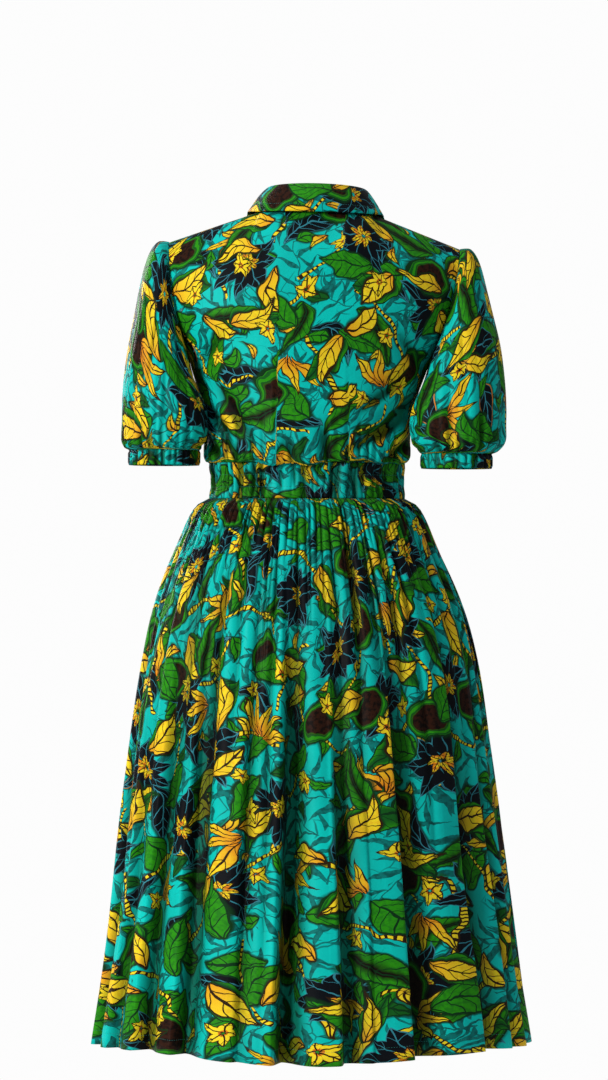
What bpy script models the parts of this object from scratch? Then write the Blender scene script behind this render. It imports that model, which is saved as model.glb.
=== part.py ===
# A short-sleeved wax print dress, held out in its worn shape with nobody in it.
# Units are metres, +Z is up and the front faces -Y. The origin lies between the
# shoulders, where the wearer carries the dress.

import math
from collections import namedtuple

import bmesh
import bpy
from mathutils import Vector

COLLECTION_NAME = "ankara_wax_print_dress"

# Cloth
WALL = 0.0015
SEAM_GAP = 0.0003
SIDE_SEAM_GAP = 0.0008
LAYER_GAP = 0.0007

# Points of the surface to each gather
STEPS_PER_GATHER = 3

# Heights of the seams that run round the body
WAISTBAND_TOP = -0.3365
WAISTBAND_BOTTOM = -0.3845
HEM = -1.126

# Neck seam, an oval that dips at the front
NECK_HALF_WIDTH = 0.074
NECK_HALF_DEPTH = 0.0755
NECK_CENTRE_Y = -0.0095
NECK_BACK_Z = 0.008
NECK_SIDE_Z = 0.009
NECK_FRONT_Z = -0.055
NECK_SHARE = 1.0 / 3.0

# Shoulder seam
SHOULDER_TIP = Vector((0.198, 0.0, -0.038))
SHOULDER_TILT = 0.025

# Body share of the underarm point on the side edge of a bodice panel
UNDERARM_SHARE = 0.40

# Front closing
NECK_COLUMNS = 6
SHOULDER_COLUMNS = 6
OVERLAP_SHARE = NECK_SHARE / NECK_COLUMNS
OVERLAP_LIFT = WALL + LAYER_GAP
BUTTON_RADIUS = 0.0058
BUTTON_THICKNESS = 0.0024
BUTTON_GAP = 0.0003
BUTTON_COUNT = 5
BUTTON_TOP_SHARE = 0.83
BUTTON_BOTTOM_SHARE = 0.105

# Waistband and cuffs, drawn in by elastic
WAISTBAND_GATHERS = 28
WAISTBAND_GATHER_DEPTH = 0.0016
CUFF_TOP = -0.3200
CUFF_BOTTOM = -0.3400
CUFF_CENTRE_X = {1: 0.1970, -1: 0.2070}
CUFF_CENTRE_Y = 0.028
CUFF_HALF_WIDTH = 0.0495
CUFF_HALF_DEPTH = 0.055
CUFF_GATHERS = 12
CUFF_GATHER_DEPTH = 0.0014

# Skirt
SKIRT_GATHERS = 56

# Collar
STAND_HEIGHT_BACK = 0.030
STAND_HEIGHT_FRONT = 0.025
STAND_LEAN = 0.12
STAND_SEAM_GAP = 0.0008
FALL_SEAM_GAP = 0.0015
COLLAR_END_DEGREES = 176

# Bodice sections, from the waist seam to just under the shoulder. The share says
# how far up the panel a section lies. Its line runs from the centre to the side.
BodiceSection = namedtuple(
    "BodiceSection", "share centre_y centre_z side_x side_y side_z squareness roundness")

BACK_SECTIONS = (
    BodiceSection(0.00, 0.098, -0.3362, 0.1345, 0.000, -0.3362, 2.0, 0.50),
    BodiceSection(0.05, 0.107, -0.3220, 0.1410, 0.000, -0.3225, 2.1, 0.50),
    BodiceSection(0.14, 0.110, -0.2900, 0.1415, 0.000, -0.2930, 2.2, 0.50),
    BodiceSection(0.28, 0.108, -0.2380, 0.1485, 0.000, -0.2480, 2.3, 0.50),
    BodiceSection(0.40, 0.112, -0.1920, 0.1620, 0.000, -0.2050, 2.4, 0.50),
    BodiceSection(0.56, 0.115, -0.1350, 0.1840, 0.041, -0.1380, 2.4, 0.72),
    BodiceSection(0.76, 0.101, -0.0640, 0.1940, 0.040, -0.0840, 2.4, 0.90),
)

FRONT_SECTIONS = (
    BodiceSection(0.00, -0.098, -0.3362, 0.1345, 0.000, -0.3362, 2.0, 0.50),
    BodiceSection(0.05, -0.110, -0.3220, 0.1410, 0.000, -0.3225, 2.1, 0.50),
    BodiceSection(0.14, -0.117, -0.2950, 0.1415, 0.000, -0.2930, 2.2, 0.50),
    BodiceSection(0.28, -0.123, -0.2480, 0.1485, 0.000, -0.2480, 2.5, 0.50),
    BodiceSection(0.40, -0.132, -0.2050, 0.1620, 0.000, -0.2050, 2.8, 0.50),
    BodiceSection(0.56, -0.125, -0.1560, 0.1800, -0.038, -0.1380, 2.6, 0.72),
    BodiceSection(0.76, -0.104, -0.1080, 0.1900, -0.038, -0.0840, 2.4, 0.90),
)

# Where the cloth turns over towards the neck and shoulder seams: how far it lies
# behind (or before) the seam and below it, at the centre and at the shoulder.
CREST_SHARE = 0.92
CREST_BACK = {"centre": (0.009, 0.019), "shoulder": (0.034, 0.006), "tip": (0.021, 0.005)}
CREST_FRONT = {"centre": (0.009, 0.018), "shoulder": (0.034, 0.007), "tip": (0.021, 0.005)}

PANEL_ROWS = (0.0, 0.03, 0.07, 0.14, 0.22, 0.31, 0.40, 0.50, 0.60, 0.70, 0.79, 0.87, 0.93, 0.97, 1.0)

# Soft folds of the bodice where it blouses into the waistband, as troughs from a
# low point to a high one. Every row is made on both sides, at the front and back.
BodiceFold = namedtuple("BodiceFold", "low_x low_z high_x high_z half_width depth")

BODICE_FOLDS = (
    BodiceFold(0.118, -0.330, 0.098, -0.255, 0.012, 0.0050),
    BodiceFold(0.082, -0.332, 0.066, -0.270, 0.010, 0.0035),
    BodiceFold(0.036, -0.334, 0.030, -0.285, 0.010, 0.0030),
)

# Sleeve lines, from the armhole to the cuff, at places round the sleeve from its
# outer side over the back: how far the line first leaves the armhole, and how far
# it swells over the cuff.
SleeveLine = namedtuple("SleeveLine", "turn armhole_out armhole_up cuff_out cuff_up")

SLEEVE_LINES = (
    SleeveLine(0.000, 0.039, 0.012, 0.034, 0.024),
    SleeveLine(0.250, 0.022, -0.025, 0.031, 0.026),
    SleeveLine(0.375, 0.018, -0.028, 0.050, 0.024),
    SleeveLine(0.500, 0.008, -0.030, 0.020, 0.024),
    SleeveLine(0.625, 0.004, -0.030, 0.014, 0.026),
    SleeveLine(0.750, 0.020, -0.025, 0.022, 0.026),
    SleeveLine(1.000, 0.039, 0.012, 0.034, 0.024),
)
SLEEVE_ROWS = (0.0, 0.07, 0.18, 0.32, 0.48, 0.64, 0.80, 0.92, 1.0)
SLEEVE_GATHER_DEPTH = 0.0026
CAP_GATHER_DEPTH = 0.0012
SLEEVE_SEAM_GAP = 0.0009

# Skirt sections, from the waist seam down, with the depth of the fine gathers
# and the share of the large folds at each.
SkirtSection = namedtuple("SkirtSection", "z half_width half_depth centre_y gather_depth fold_share")

SKIRT_SECTIONS = (
    SkirtSection(-0.3848, 0.1350, 0.0990, 0.000, 0.0014, 0.00),
    SkirtSection(-0.3930, 0.1490, 0.1130, 0.001, 0.0024, 0.02),
    SkirtSection(-0.4100, 0.1600, 0.1250, 0.003, 0.0032, 0.05),
    SkirtSection(-0.4430, 0.1735, 0.1400, 0.006, 0.0036, 0.12),
    SkirtSection(-0.4970, 0.1945, 0.1590, 0.008, 0.0032, 0.25),
    SkirtSection(-0.5670, 0.2180, 0.1780, 0.010, 0.0024, 0.42),
    SkirtSection(-0.6560, 0.2370, 0.1930, 0.010, 0.0014, 0.60),
    SkirtSection(-0.7800, 0.2540, 0.2050, 0.010, 0.0006, 0.78),
    SkirtSection(-0.9300, 0.2740, 0.2180, 0.010, 0.0000, 0.92),
    SkirtSection(HEM, 0.3020, 0.2330, 0.010, 0.0000, 1.00),
)

# Large folds of the skirt as troughs, at angles from the centre back towards +X.
SkirtFold = namedtuple("SkirtFold", "angle half_width depth")

SKIRT_FOLDS = (
    SkirtFold(8.5, 3.6, 0.021),
    SkirtFold(18.5, 3.2, 0.010),
    SkirtFold(34.0, 4.2, 0.015),
    SkirtFold(51.0, 4.0, 0.014),
    SkirtFold(65.0, 3.8, 0.010),
    SkirtFold(80.0, 4.0, 0.012),
    SkirtFold(98.0, 4.2, 0.013),
    SkirtFold(113.0, 3.8, 0.011),
    SkirtFold(129.0, 4.4, 0.016),
    SkirtFold(145.0, 3.6, 0.010),
    SkirtFold(160.0, 4.2, 0.015),
    SkirtFold(174.0, 3.6, 0.011),
    SkirtFold(189.0, 4.4, 0.018),
    SkirtFold(205.0, 3.6, 0.010),
    SkirtFold(220.0, 4.2, 0.014),
    SkirtFold(236.0, 3.8, 0.012),
    SkirtFold(250.0, 4.2, 0.015),
    SkirtFold(263.0, 3.8, 0.010),
    SkirtFold(281.0, 4.0, 0.012),
    SkirtFold(297.0, 3.8, 0.010),
    SkirtFold(312.0, 4.4, 0.016),
    SkirtFold(332.0, 4.2, 0.016),
    SkirtFold(343.0, 3.2, 0.009),
    SkirtFold(352.5, 3.6, 0.014),
)

# Lower edge of the collar fall, at angles round the neck from the centre back.
CollarEdge = namedtuple("CollarEdge", "angle x y z")

COLLAR_EDGE = (
    CollarEdge(0, 0.000, 0.081, 0.0020),
    CollarEdge(30, 0.045, 0.073, 0.0025),
    CollarEdge(60, 0.078, 0.045, 0.0035),
    CollarEdge(90, 0.093, -0.002, 0.0065),
    CollarEdge(120, 0.096, -0.053, -0.0040),
    CollarEdge(150, 0.084, -0.088, -0.0470),
    CollarEdge(176, 0.062, -0.106, -0.0880),
)
COLLAR_STEP_DEGREES = 90 // NECK_COLUMNS
COLLAR_ROWS = (0.0, 0.14, 0.30, 0.50, 0.75, 1.0)

# Sideways sway of the body, by height
SWAY_HEIGHTS = (-1.13, -0.36, 0.06)
SWAY_SHIFTS = (0.003, 0.006, -0.009)

Finish = namedtuple("Finish", "colour roughness")

CLOTH_FINISH = Finish((0.0, 0.42, 0.46, 1.0), 0.72)
BAND_FINISH = Finish((0.01, 0.28, 0.29, 1.0), 0.74)
BUTTON_FINISH = Finish((0.02, 0.07, 0.08, 1.0), 0.35)


def smooth_step(low, high, value):
    share = min(max((value - low) / (high - low), 0.0), 1.0)
    return share * share * (3.0 - 2.0 * share)


def curve_through(knots, values, place):
    """Value at a place on the smooth curve through values set at rising knots.

    The curve never swings past the values, so edges that share them stay apart.
    """
    last = len(knots) - 1
    place = min(max(place, knots[0]), knots[last])
    cell = 0
    while cell < last - 1 and place > knots[cell + 1]:
        cell += 1

    def rate(index):
        return (values[index + 1] - values[index]) / (knots[index + 1] - knots[index])

    def slope(index):
        if index in (0, last):
            return rate(min(index, last - 1))
        before = rate(index - 1)
        after = rate(index)
        return 2.0 * before * after / (before + after) if before * after > 0.0 else 0.0

    span = knots[cell + 1] - knots[cell]
    t = (place - knots[cell]) / span
    rise = t * t * (3.0 - 2.0 * t)
    start_push = t * (1.0 - t) ** 2 * span
    end_push = t * t * (t - 1.0) * span
    return (
        values[cell] * (1.0 - rise)
        + values[cell + 1] * rise
        + slope(cell) * start_push
        + slope(cell + 1) * end_push
    )


def section_value(sections, key, column, place):
    """Smooth value of one column of a table of sections."""
    knots = [getattr(section, key) for section in sections]
    values = [getattr(section, column) for section in sections]
    return curve_through(knots, values, place)


def pose(point):
    """Sways a point of the even dress sideways and lowers the right shoulder."""
    sway = curve_through(SWAY_HEIGHTS, SWAY_SHIFTS, point.z)
    tilt = SHOULDER_TILT * smooth_step(-0.45, 0.0, point.z)
    return Vector((point.x + sway, point.y, point.z + tilt * point.x))


# Neck and bodice

def neck_point(angle):
    """Point of the neck seam, at an angle from the centre back towards +X."""
    forward = max(0.0, -math.cos(angle))
    backward = max(0.0, math.cos(angle))
    height = NECK_SIDE_Z
    height += (NECK_BACK_Z - NECK_SIDE_Z) * backward
    height += (NECK_FRONT_Z - NECK_SIDE_Z) * forward ** 1.5
    return Vector((
        NECK_HALF_WIDTH * math.sin(angle),
        NECK_CENTRE_Y + NECK_HALF_DEPTH * math.cos(angle),
        height,
    ))


def panel_top(across, is_front):
    """Top edge of a bodice panel: half the neck seam, then the shoulder seam."""
    reach = abs(across)
    if reach < NECK_SHARE:
        angle = math.pi / 2 * reach / NECK_SHARE
        point = neck_point(math.pi - angle if is_front else angle)
    else:
        share = (reach - NECK_SHARE) / (1.0 - NECK_SHARE)
        point = neck_point(math.pi / 2).lerp(SHOULDER_TIP, share)
    return Vector((math.copysign(point.x, across), point.y, point.z))


def panel_crest(across, is_front):
    """Where the panel turns over, just behind or before its top edge."""
    crest = CREST_FRONT if is_front else CREST_BACK
    reach = abs(across)
    to_shoulder = smooth_step(0.0, NECK_SHARE, reach)
    to_tip = smooth_step(0.55, 1.0, reach)
    away, below = (
        crest["centre"][index] * (1.0 - to_shoulder)
        + crest["shoulder"][index] * to_shoulder * (1.0 - to_tip)
        + crest["tip"][index] * to_tip
        for index in range(2)
    )
    facing = -1.0 if is_front else 1.0
    spread = 0.006 * (1.0 - to_tip) * math.sin(math.pi / 2 * reach)
    return panel_top(across, is_front) + Vector((math.copysign(spread, across), facing * away, -below))


def section_point(section, across):
    angle = math.pi / 2 * abs(across)
    reach = math.sin(angle)
    hollow = (1.0 - reach ** section.squareness) ** section.roundness if reach < 1.0 else 0.0
    return Vector((
        math.copysign(section.side_x * reach, across),
        section.side_y + (section.centre_y - section.side_y) * hollow,
        section.centre_z + (section.side_z - section.centre_z) * reach * reach,
    ))


def fold_depth(x, z):
    """Depth of the bodice folds at a place seen from the front or the back."""
    total = 0.0
    for fold in BODICE_FOLDS:
        run = Vector((fold.high_x - fold.low_x, fold.high_z - fold.low_z))
        offset = Vector((abs(x) - fold.low_x, z - fold.low_z))
        share = min(max(offset.dot(run) / run.length_squared, 0.0), 1.0)
        distance = (offset - run * share).length
        fade = 1.0 - smooth_step(0.45, 1.0, share)
        total += fold.depth * fade * math.exp(-(distance / fold.half_width) ** 2)
    return total


def panel_point(across, share, is_front):
    """Outer surface of the front or the back of the bodice."""
    sections = FRONT_SECTIONS if is_front else BACK_SECTIONS
    knots = [section.share for section in sections] + [CREST_SHARE, 1.0]
    points = [section_point(section, across) for section in sections]
    points += [panel_crest(across, is_front), panel_top(across, is_front)]
    point = Vector([curve_through(knots, values, share) for values in zip(*points)])
    inward = 1.0 if is_front else -1.0
    seam_fade = smooth_step(0.0, 0.05, share) * smooth_step(1.0, 0.8, abs(across))
    point.y += inward * fold_depth(point.x, point.z) * seam_fade
    return point


def back_point(across, share):
    return pose(panel_point(across, share, False) + Vector((0.0, SIDE_SEAM_GAP / 2, 0.0)))


def overlap_shift(across, share):
    """Shift that lays the right front on the left one, level along the waist seam."""
    step = 0.01
    low = max(share - step, 0.0)
    high = min(share + step, 1.0)
    sideways = panel_point(across + step, share, True) - panel_point(across - step, share, True)
    upward = panel_point(across, high, True) - panel_point(across, low, True)
    outward = sideways.cross(upward).normalized()
    level = Vector((outward.x, outward.y, 0.0))
    level /= level.length_squared
    return level.lerp(outward, smooth_step(0.0, 0.12, share)) * OVERLAP_LIFT


def front_point(across, share, side):
    """Left front (side 1) or right front (side -1), which lies on top at the centre."""
    point = panel_point(across, share, True) - Vector((0.0, SIDE_SEAM_GAP / 2, 0.0))
    lift = 1.0 - smooth_step(0.08, 0.20, abs(across))
    if side < 0 and lift > 0.0:
        point += overlap_shift(across, share) * lift
    return pose(point)


# Collar

def stand_point(degrees, rise):
    """Outer surface of the collar stand, leaning in a little as it rises."""
    foot = neck_point(math.radians(degrees))
    to_front = smooth_step(0, 180, abs(degrees))
    height = STAND_HEIGHT_BACK + (STAND_HEIGHT_FRONT - STAND_HEIGHT_BACK) * to_front
    over_overlap = OVERLAP_LIFT * smooth_step(110, 150, abs(degrees))
    shrink = 1.0 - STAND_LEAN * rise
    return Vector((
        foot.x * shrink,
        NECK_CENTRE_Y + (foot.y - NECK_CENTRE_Y) * shrink,
        foot.z + STAND_SEAM_GAP + over_overlap + rise * height,
    ))


def fall_point(degrees, share):
    """Outer surface of the collar fall, from the stand over the fold to its edge."""
    edge = Vector([section_value(COLLAR_EDGE, "angle", axis, abs(degrees)) for axis in "xyz"])
    edge.x = math.copysign(edge.x, degrees)
    start = stand_point(degrees, 1.0)
    outward = Vector((math.sin(math.radians(degrees)), math.cos(math.radians(degrees)), 0.0))
    start += Vector((0.0, 0.0, FALL_SEAM_GAP)) - outward * WALL
    over = start + Vector((0.0, 0.0, 0.009))
    down = start.lerp(edge, 0.35) + Vector((0.0, 0.0, 0.010)) + outward * 0.007
    keep = 1.0 - share
    return (
        start * keep ** 3
        + over * (3.0 * share * keep ** 2)
        + down * (3.0 * share ** 2 * keep)
        + edge * share ** 3
    )


# Sleeves and cuffs, made on +X and mirrored by the side

def armhole_point(turn):
    """Point of the armhole edge: from the shoulder tip down the back, up the front."""
    if turn <= 0.5:
        share = 1.0 - (1.0 - UNDERARM_SHARE) * turn / 0.5
        return panel_point(1.0, share, False)
    share = UNDERARM_SHARE + (1.0 - UNDERARM_SHARE) * (turn - 0.5) / 0.5
    return panel_point(1.0, share, True)


def round_sleeve(turn):
    angle = 2.0 * math.pi * turn
    return Vector((math.cos(angle), math.sin(angle), 0.0))


def cuff_point(turn, height, side):
    outward = round_sleeve(turn)
    gather = -CUFF_GATHER_DEPTH * math.cos(2.0 * math.pi * CUFF_GATHERS * turn)
    return Vector((
        CUFF_CENTRE_X[side] + (CUFF_HALF_WIDTH + gather) * outward.x,
        CUFF_CENTRE_Y + (CUFF_HALF_DEPTH + gather) * outward.y,
        height,
    ))


def sleeve_point(turn, share, side):
    """Outer surface of the puff sleeve."""
    outward = round_sleeve(turn)
    start = armhole_point(turn) + Vector((SLEEVE_SEAM_GAP, 0.0, 0.0)) + outward * SEAM_GAP
    end = cuff_point(turn, CUFF_TOP + SEAM_GAP, side)
    line = {
        column: section_value(SLEEVE_LINES, "turn", column, turn)
        for column in SleeveLine._fields[1:]
    }
    leave = start + outward * line["armhole_out"] + Vector((0.0, 0.0, line["armhole_up"]))
    arrive = end + outward * line["cuff_out"] + Vector((0.0, 0.0, line["cuff_up"]))
    keep = 1.0 - share
    point = (
        start * keep ** 3
        + leave * (3.0 * share * keep ** 2)
        + arrive * (3.0 * share ** 2 * keep)
        + end * share ** 3
    )
    low = SLEEVE_GATHER_DEPTH * smooth_step(0.35, 0.9, share) * smooth_step(1.0, 0.94, share)
    cap_place = max(0.0, math.cos(2.0 * math.pi * turn))
    cap = CAP_GATHER_DEPTH * cap_place * smooth_step(0.0, 0.08, share) * smooth_step(0.5, 0.15, share)
    return point - outward * (low + cap) * math.cos(2.0 * math.pi * CUFF_GATHERS * turn)


def to_side(point, side):
    return pose(Vector((point.x * side, point.y, point.z)))


# Waistband and skirt

def waistband_point(turn, height):
    angle = 2.0 * math.pi * turn
    gather = -WAISTBAND_GATHER_DEPTH * math.cos(2.0 * math.pi * WAISTBAND_GATHERS * turn)
    middle = (WAISTBAND_TOP + WAISTBAND_BOTTOM) / 2
    swell = 0.0012 * (1.0 - abs(height - middle) / (WAISTBAND_TOP - middle))
    return pose(Vector((
        (SKIRT_SECTIONS[0].half_width + gather + swell) * math.sin(angle),
        (SKIRT_SECTIONS[0].half_depth + gather + swell) * math.cos(angle),
        height,
    )))


def skirt_angle(turn):
    """Angle of a turn round the skirt, with the gathers unevenly spaced."""
    uneven = 0.0035 * math.sin(2.0 * math.pi * 6 * turn) + 0.0018 * math.sin(2.0 * math.pi * 14 * turn)
    return 2.0 * math.pi * (turn + uneven)


def skirt_fold(angle):
    """Depth of the large folds at an angle, where they are fully grown."""
    total = 0.0
    for fold in SKIRT_FOLDS:
        apart = (math.degrees(angle) - fold.angle + 180.0) % 360.0 - 180.0
        total += fold.depth * math.exp(-(apart / fold.half_width) ** 2)
    return total


def skirt_point(turn, height):
    """Outer surface of the skirt. A turn of 0 is the centre back, 0.25 is at +X."""
    size = {
        column: section_value(SKIRT_SECTIONS[::-1], "z", column, height)
        for column in SkirtSection._fields[1:]
    }
    angle = skirt_angle(turn)
    uneven = 0.8 + 0.2 * math.sin(2.0 * math.pi * 9 * turn + 0.7)
    gather = -size["gather_depth"] * uneven * math.cos(2.0 * math.pi * SKIRT_GATHERS * turn)
    inward = size["fold_share"] * skirt_fold(angle)
    return Vector((
        (size["half_width"] + gather - inward) * math.sin(angle),
        size["centre_y"] + (size["half_depth"] + gather - inward) * math.cos(angle),
        height,
    ))


def skirt_back_point(turn, height):
    return pose(skirt_point(turn, height) + Vector((0.0, SIDE_SEAM_GAP / 2, 0.0)))


def skirt_front_point(turn, height):
    return pose(skirt_point(turn, height) - Vector((0.0, SIDE_SEAM_GAP / 2, 0.0)))


# Making objects

def even_steps(first, last, count):
    return [first + (last - first) * step / count for step in range(count + 1)]


def make_material(name, finish):
    material = bpy.data.materials.new(name)
    material.use_nodes = True
    shader = material.node_tree.nodes["Principled BSDF"]
    shader.inputs["Base Color"].default_value = finish.colour
    shader.inputs["Roughness"].default_value = finish.roughness
    shader.inputs["Metallic"].default_value = 0.0
    return material


def add_object(name, mesh, finish, collection):
    mesh.materials.append(make_material(name, finish))
    item = bpy.data.objects.new(name, mesh)
    collection.objects.link(item)
    return item


def make_cloth(name, columns, rows, surface, finish, collection, turned=False, tube=False):
    """A cloth wall on a grid whose points a surface function moves into place."""
    sheet = bmesh.new()
    bmesh.ops.create_grid(sheet, x_segments=len(columns) - 1, y_segments=len(rows) - 1, size=1.0)
    for vertex in sheet.verts:
        column = round((vertex.co.x + 1.0) / 2 * (len(columns) - 1))
        row = round((vertex.co.y + 1.0) / 2 * (len(rows) - 1))
        vertex.co = surface(columns[column], rows[row])
    if tube:
        bmesh.ops.remove_doubles(sheet, verts=sheet.verts, dist=0.00005)
    if turned:
        bmesh.ops.reverse_faces(sheet, faces=sheet.faces)
    mesh = bpy.data.meshes.new(name)
    sheet.to_mesh(mesh)
    sheet.free()
    mesh.shade_smooth()
    item = add_object(name, mesh, finish, collection)
    wall = item.modifiers.new("Wall", "SOLIDIFY")
    wall.thickness = WALL
    wall.offset = -1.0
    return item


def make_bodice(collection):
    half = even_steps(0.0, NECK_SHARE, NECK_COLUMNS) + even_steps(NECK_SHARE, 1.0, SHOULDER_COLUMNS)[1:]
    mirrored = [-across for across in half[:0:-1]]
    whole = mirrored + half
    make_cloth("bodice_back", whole[::-1], PANEL_ROWS, back_point, CLOTH_FINISH, collection)
    for side, name in ((1, "bodice_front_left"), (-1, "bodice_front_right")):
        columns = [-OVERLAP_SHARE] + half if side > 0 else mirrored + [0.0, OVERLAP_SHARE]
        make_cloth(
            name, columns, PANEL_ROWS,
            lambda across, share, side=side: front_point(across, share, side),
            CLOTH_FINISH, collection)


def make_collar(collection):
    inner = range(-180 + COLLAR_STEP_DEGREES, 180, COLLAR_STEP_DEGREES)
    angles = [-COLLAR_END_DEGREES] + list(inner) + [COLLAR_END_DEGREES]
    make_cloth(
        "collar_stand", angles, even_steps(0.0, 1.0, 2),
        lambda degrees, rise: pose(stand_point(degrees, rise)), BAND_FINISH, collection, turned=True)
    make_cloth(
        "collar_fall", angles, COLLAR_ROWS,
        lambda degrees, share: pose(fall_point(degrees, share)), CLOTH_FINISH, collection)


def make_sleeves(collection):
    turns = even_steps(0.0, 1.0, CUFF_GATHERS * STEPS_PER_GATHER)
    for side, name in ((1, "left"), (-1, "right")):
        make_cloth(
            "sleeve_" + name, turns, SLEEVE_ROWS,
            lambda turn, share, side=side: to_side(sleeve_point(turn, share, side), side),
            CLOTH_FINISH, collection, turned=side > 0, tube=True)
        make_cloth(
            "cuff_" + name, turns, (CUFF_TOP, (CUFF_TOP + CUFF_BOTTOM) / 2, CUFF_BOTTOM),
            lambda turn, height, side=side: to_side(cuff_point(turn, height, side), side),
            BAND_FINISH, collection, turned=side > 0, tube=True)


def make_waistband(collection):
    turns = even_steps(0.0, 1.0, WAISTBAND_GATHERS * STEPS_PER_GATHER)
    heights = even_steps(WAISTBAND_TOP, WAISTBAND_BOTTOM, 2)
    make_cloth("waistband", turns, heights, waistband_point, BAND_FINISH, collection, tube=True)


def make_skirt(collection):
    heights = [section.z for section in SKIRT_SECTIONS]
    steps = SKIRT_GATHERS * STEPS_PER_GATHER // 2
    back_turns = even_steps(-0.25, 0.25, steps)
    front_turns = even_steps(0.25, 0.75, steps)
    make_cloth("skirt_back", back_turns, heights, skirt_back_point, CLOTH_FINISH, collection)
    make_cloth("skirt_front", front_turns, heights, skirt_front_point, CLOTH_FINISH, collection)


def button_seat(share):
    """Place of a button on the flat faces of the right front, and the way it looks."""
    above = next(index for index, row in enumerate(PANEL_ROWS) if row > share)
    low_share, high_share = PANEL_ROWS[above - 1:above + 1]
    low = front_point(0.0, low_share, -1)
    high = front_point(0.0, high_share, -1)
    across = front_point(OVERLAP_SHARE, share, -1) - front_point(-OVERLAP_SHARE, share, -1)
    seat = low.lerp(high, (share - low_share) / (high_share - low_share))
    return seat, across.cross(high - low).normalized()


def make_buttons(collection):
    shares = even_steps(BUTTON_TOP_SHARE, BUTTON_BOTTOM_SHARE, BUTTON_COUNT - 1)
    for number, share in enumerate(shares, start=1):
        seat, outward = button_seat(share)
        disc = bmesh.new()
        bmesh.ops.create_cone(
            disc, cap_ends=True, segments=12, radius1=BUTTON_RADIUS,
            radius2=BUTTON_RADIUS * 0.9, depth=BUTTON_THICKNESS)
        mesh = bpy.data.meshes.new("button_%d" % number)
        disc.to_mesh(mesh)
        disc.free()
        button = add_object("button_%d" % number, mesh, BUTTON_FINISH, collection)
        button.location = seat + outward * (BUTTON_THICKNESS / 2 + BUTTON_GAP)
        button.rotation_euler = outward.to_track_quat("Z", "Y").to_euler()


def main():
    for item in list(bpy.data.objects):
        bpy.data.objects.remove(item, do_unlink=True)
    collection = bpy.data.collections.new(COLLECTION_NAME)
    bpy.context.scene.collection.children.link(collection)
    make_bodice(collection)
    make_collar(collection)
    make_sleeves(collection)
    make_waistband(collection)
    make_skirt(collection)
    make_buttons(collection)


main()
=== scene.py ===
import random
from bisect import bisect_left, bisect_right
from functools import lru_cache, partial
from math import copysign, cos, exp, pi, radians, sin, sqrt

import bmesh
import bpy
from mathutils import Matrix, Vector


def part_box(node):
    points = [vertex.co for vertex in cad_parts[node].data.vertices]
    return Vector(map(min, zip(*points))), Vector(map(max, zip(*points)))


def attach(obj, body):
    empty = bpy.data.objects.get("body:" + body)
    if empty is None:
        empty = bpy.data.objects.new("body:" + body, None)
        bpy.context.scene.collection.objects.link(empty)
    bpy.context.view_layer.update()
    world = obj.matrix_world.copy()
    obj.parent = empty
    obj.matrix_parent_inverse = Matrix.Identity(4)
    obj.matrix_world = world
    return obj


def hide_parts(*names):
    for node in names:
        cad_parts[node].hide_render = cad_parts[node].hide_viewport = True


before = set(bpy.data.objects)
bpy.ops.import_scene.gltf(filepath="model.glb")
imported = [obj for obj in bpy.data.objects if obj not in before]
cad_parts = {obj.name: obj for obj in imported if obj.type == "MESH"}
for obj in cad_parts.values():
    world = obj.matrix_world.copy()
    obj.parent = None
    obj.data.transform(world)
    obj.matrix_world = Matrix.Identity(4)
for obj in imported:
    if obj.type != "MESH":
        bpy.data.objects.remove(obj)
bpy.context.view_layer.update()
print("frame loaded")


# small helpers

remember = lru_cache(maxsize=None)


def smoothStep(low, high, value):
    share = min(max((value - low) / (high - low), 0.0), 1.0)
    return share * share * (3.0 - 2.0 * share)


def within(value, start, full, wane, end):
    # 0 outside start and end, 1 from full to wane
    return smoothStep(start, full, value) * smoothStep(end, wane, value)


def fadeFrom(middle, place, halfWidth, sharp=2.0):
    # 1 at the middle, dying away past the half width
    return exp(-abs((place - middle) / halfWidth) ** sharp)


def curveThrough(knots, values, place):
    # smooth curve that never swings past its values
    last = len(knots) - 1
    place = min(max(place, knots[0]), knots[last])
    cell = min(max(bisect_right(knots, place) - 1, 0), last - 1)

    def rate(index):
        return (values[index + 1] - values[index]) / (knots[index + 1] - knots[index])

    def slope(index):
        if index in (0, last):
            return rate(min(index, last - 1))
        before, after = rate(index - 1), rate(index)
        return 2.0 * before * after / (before + after) if before * after > 0.0 else 0.0

    span = knots[cell + 1] - knots[cell]
    t = (place - knots[cell]) / span
    rise = t * t * (3.0 - 2.0 * t)
    push = slope(cell) * t * (1.0 - t) ** 2 * span + slope(cell + 1) * t * t * (t - 1.0) * span
    return values[cell] * (1.0 - rise) + values[cell + 1] * rise + push


@remember
def tableValues(table, place):
    # each column of the table at a place in its first one
    knots, *columns = zip(*table)
    return [curveThrough(knots, column, place) for column in columns]


def bezier(share, start, leave, arrive, end):
    keep = 1.0 - share
    handles = leave * (3 * share * keep ** 2) + arrive * (3 * share ** 2 * keep)
    return start * keep ** 3 + handles + end * share ** 3


def evenSteps(first, *stretches):
    # a stretch is the value it runs to and its number of steps
    values = [first]
    for last, count in zip(stretches[::2], stretches[1::2]):
        values += [first + (last - first) * step / count for step in range(1, count + 1)]
        first = last
    return values


def linear(hexColour):
    parts = [int(hexColour[spot:spot + 2], 16) / 255 for spot in (1, 3, 5)]
    return [part / 12.92 if part <= 0.04045 else ((part + 0.055) / 1.055) ** 2.4 for part in parts] + [1.0]


def up(height):
    return Vector((0.0, 0.0, height))


def addObject(name, data):
    made = bpy.data.objects.new(name, data)
    bpy.context.scene.collection.objects.link(made)
    return made


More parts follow.
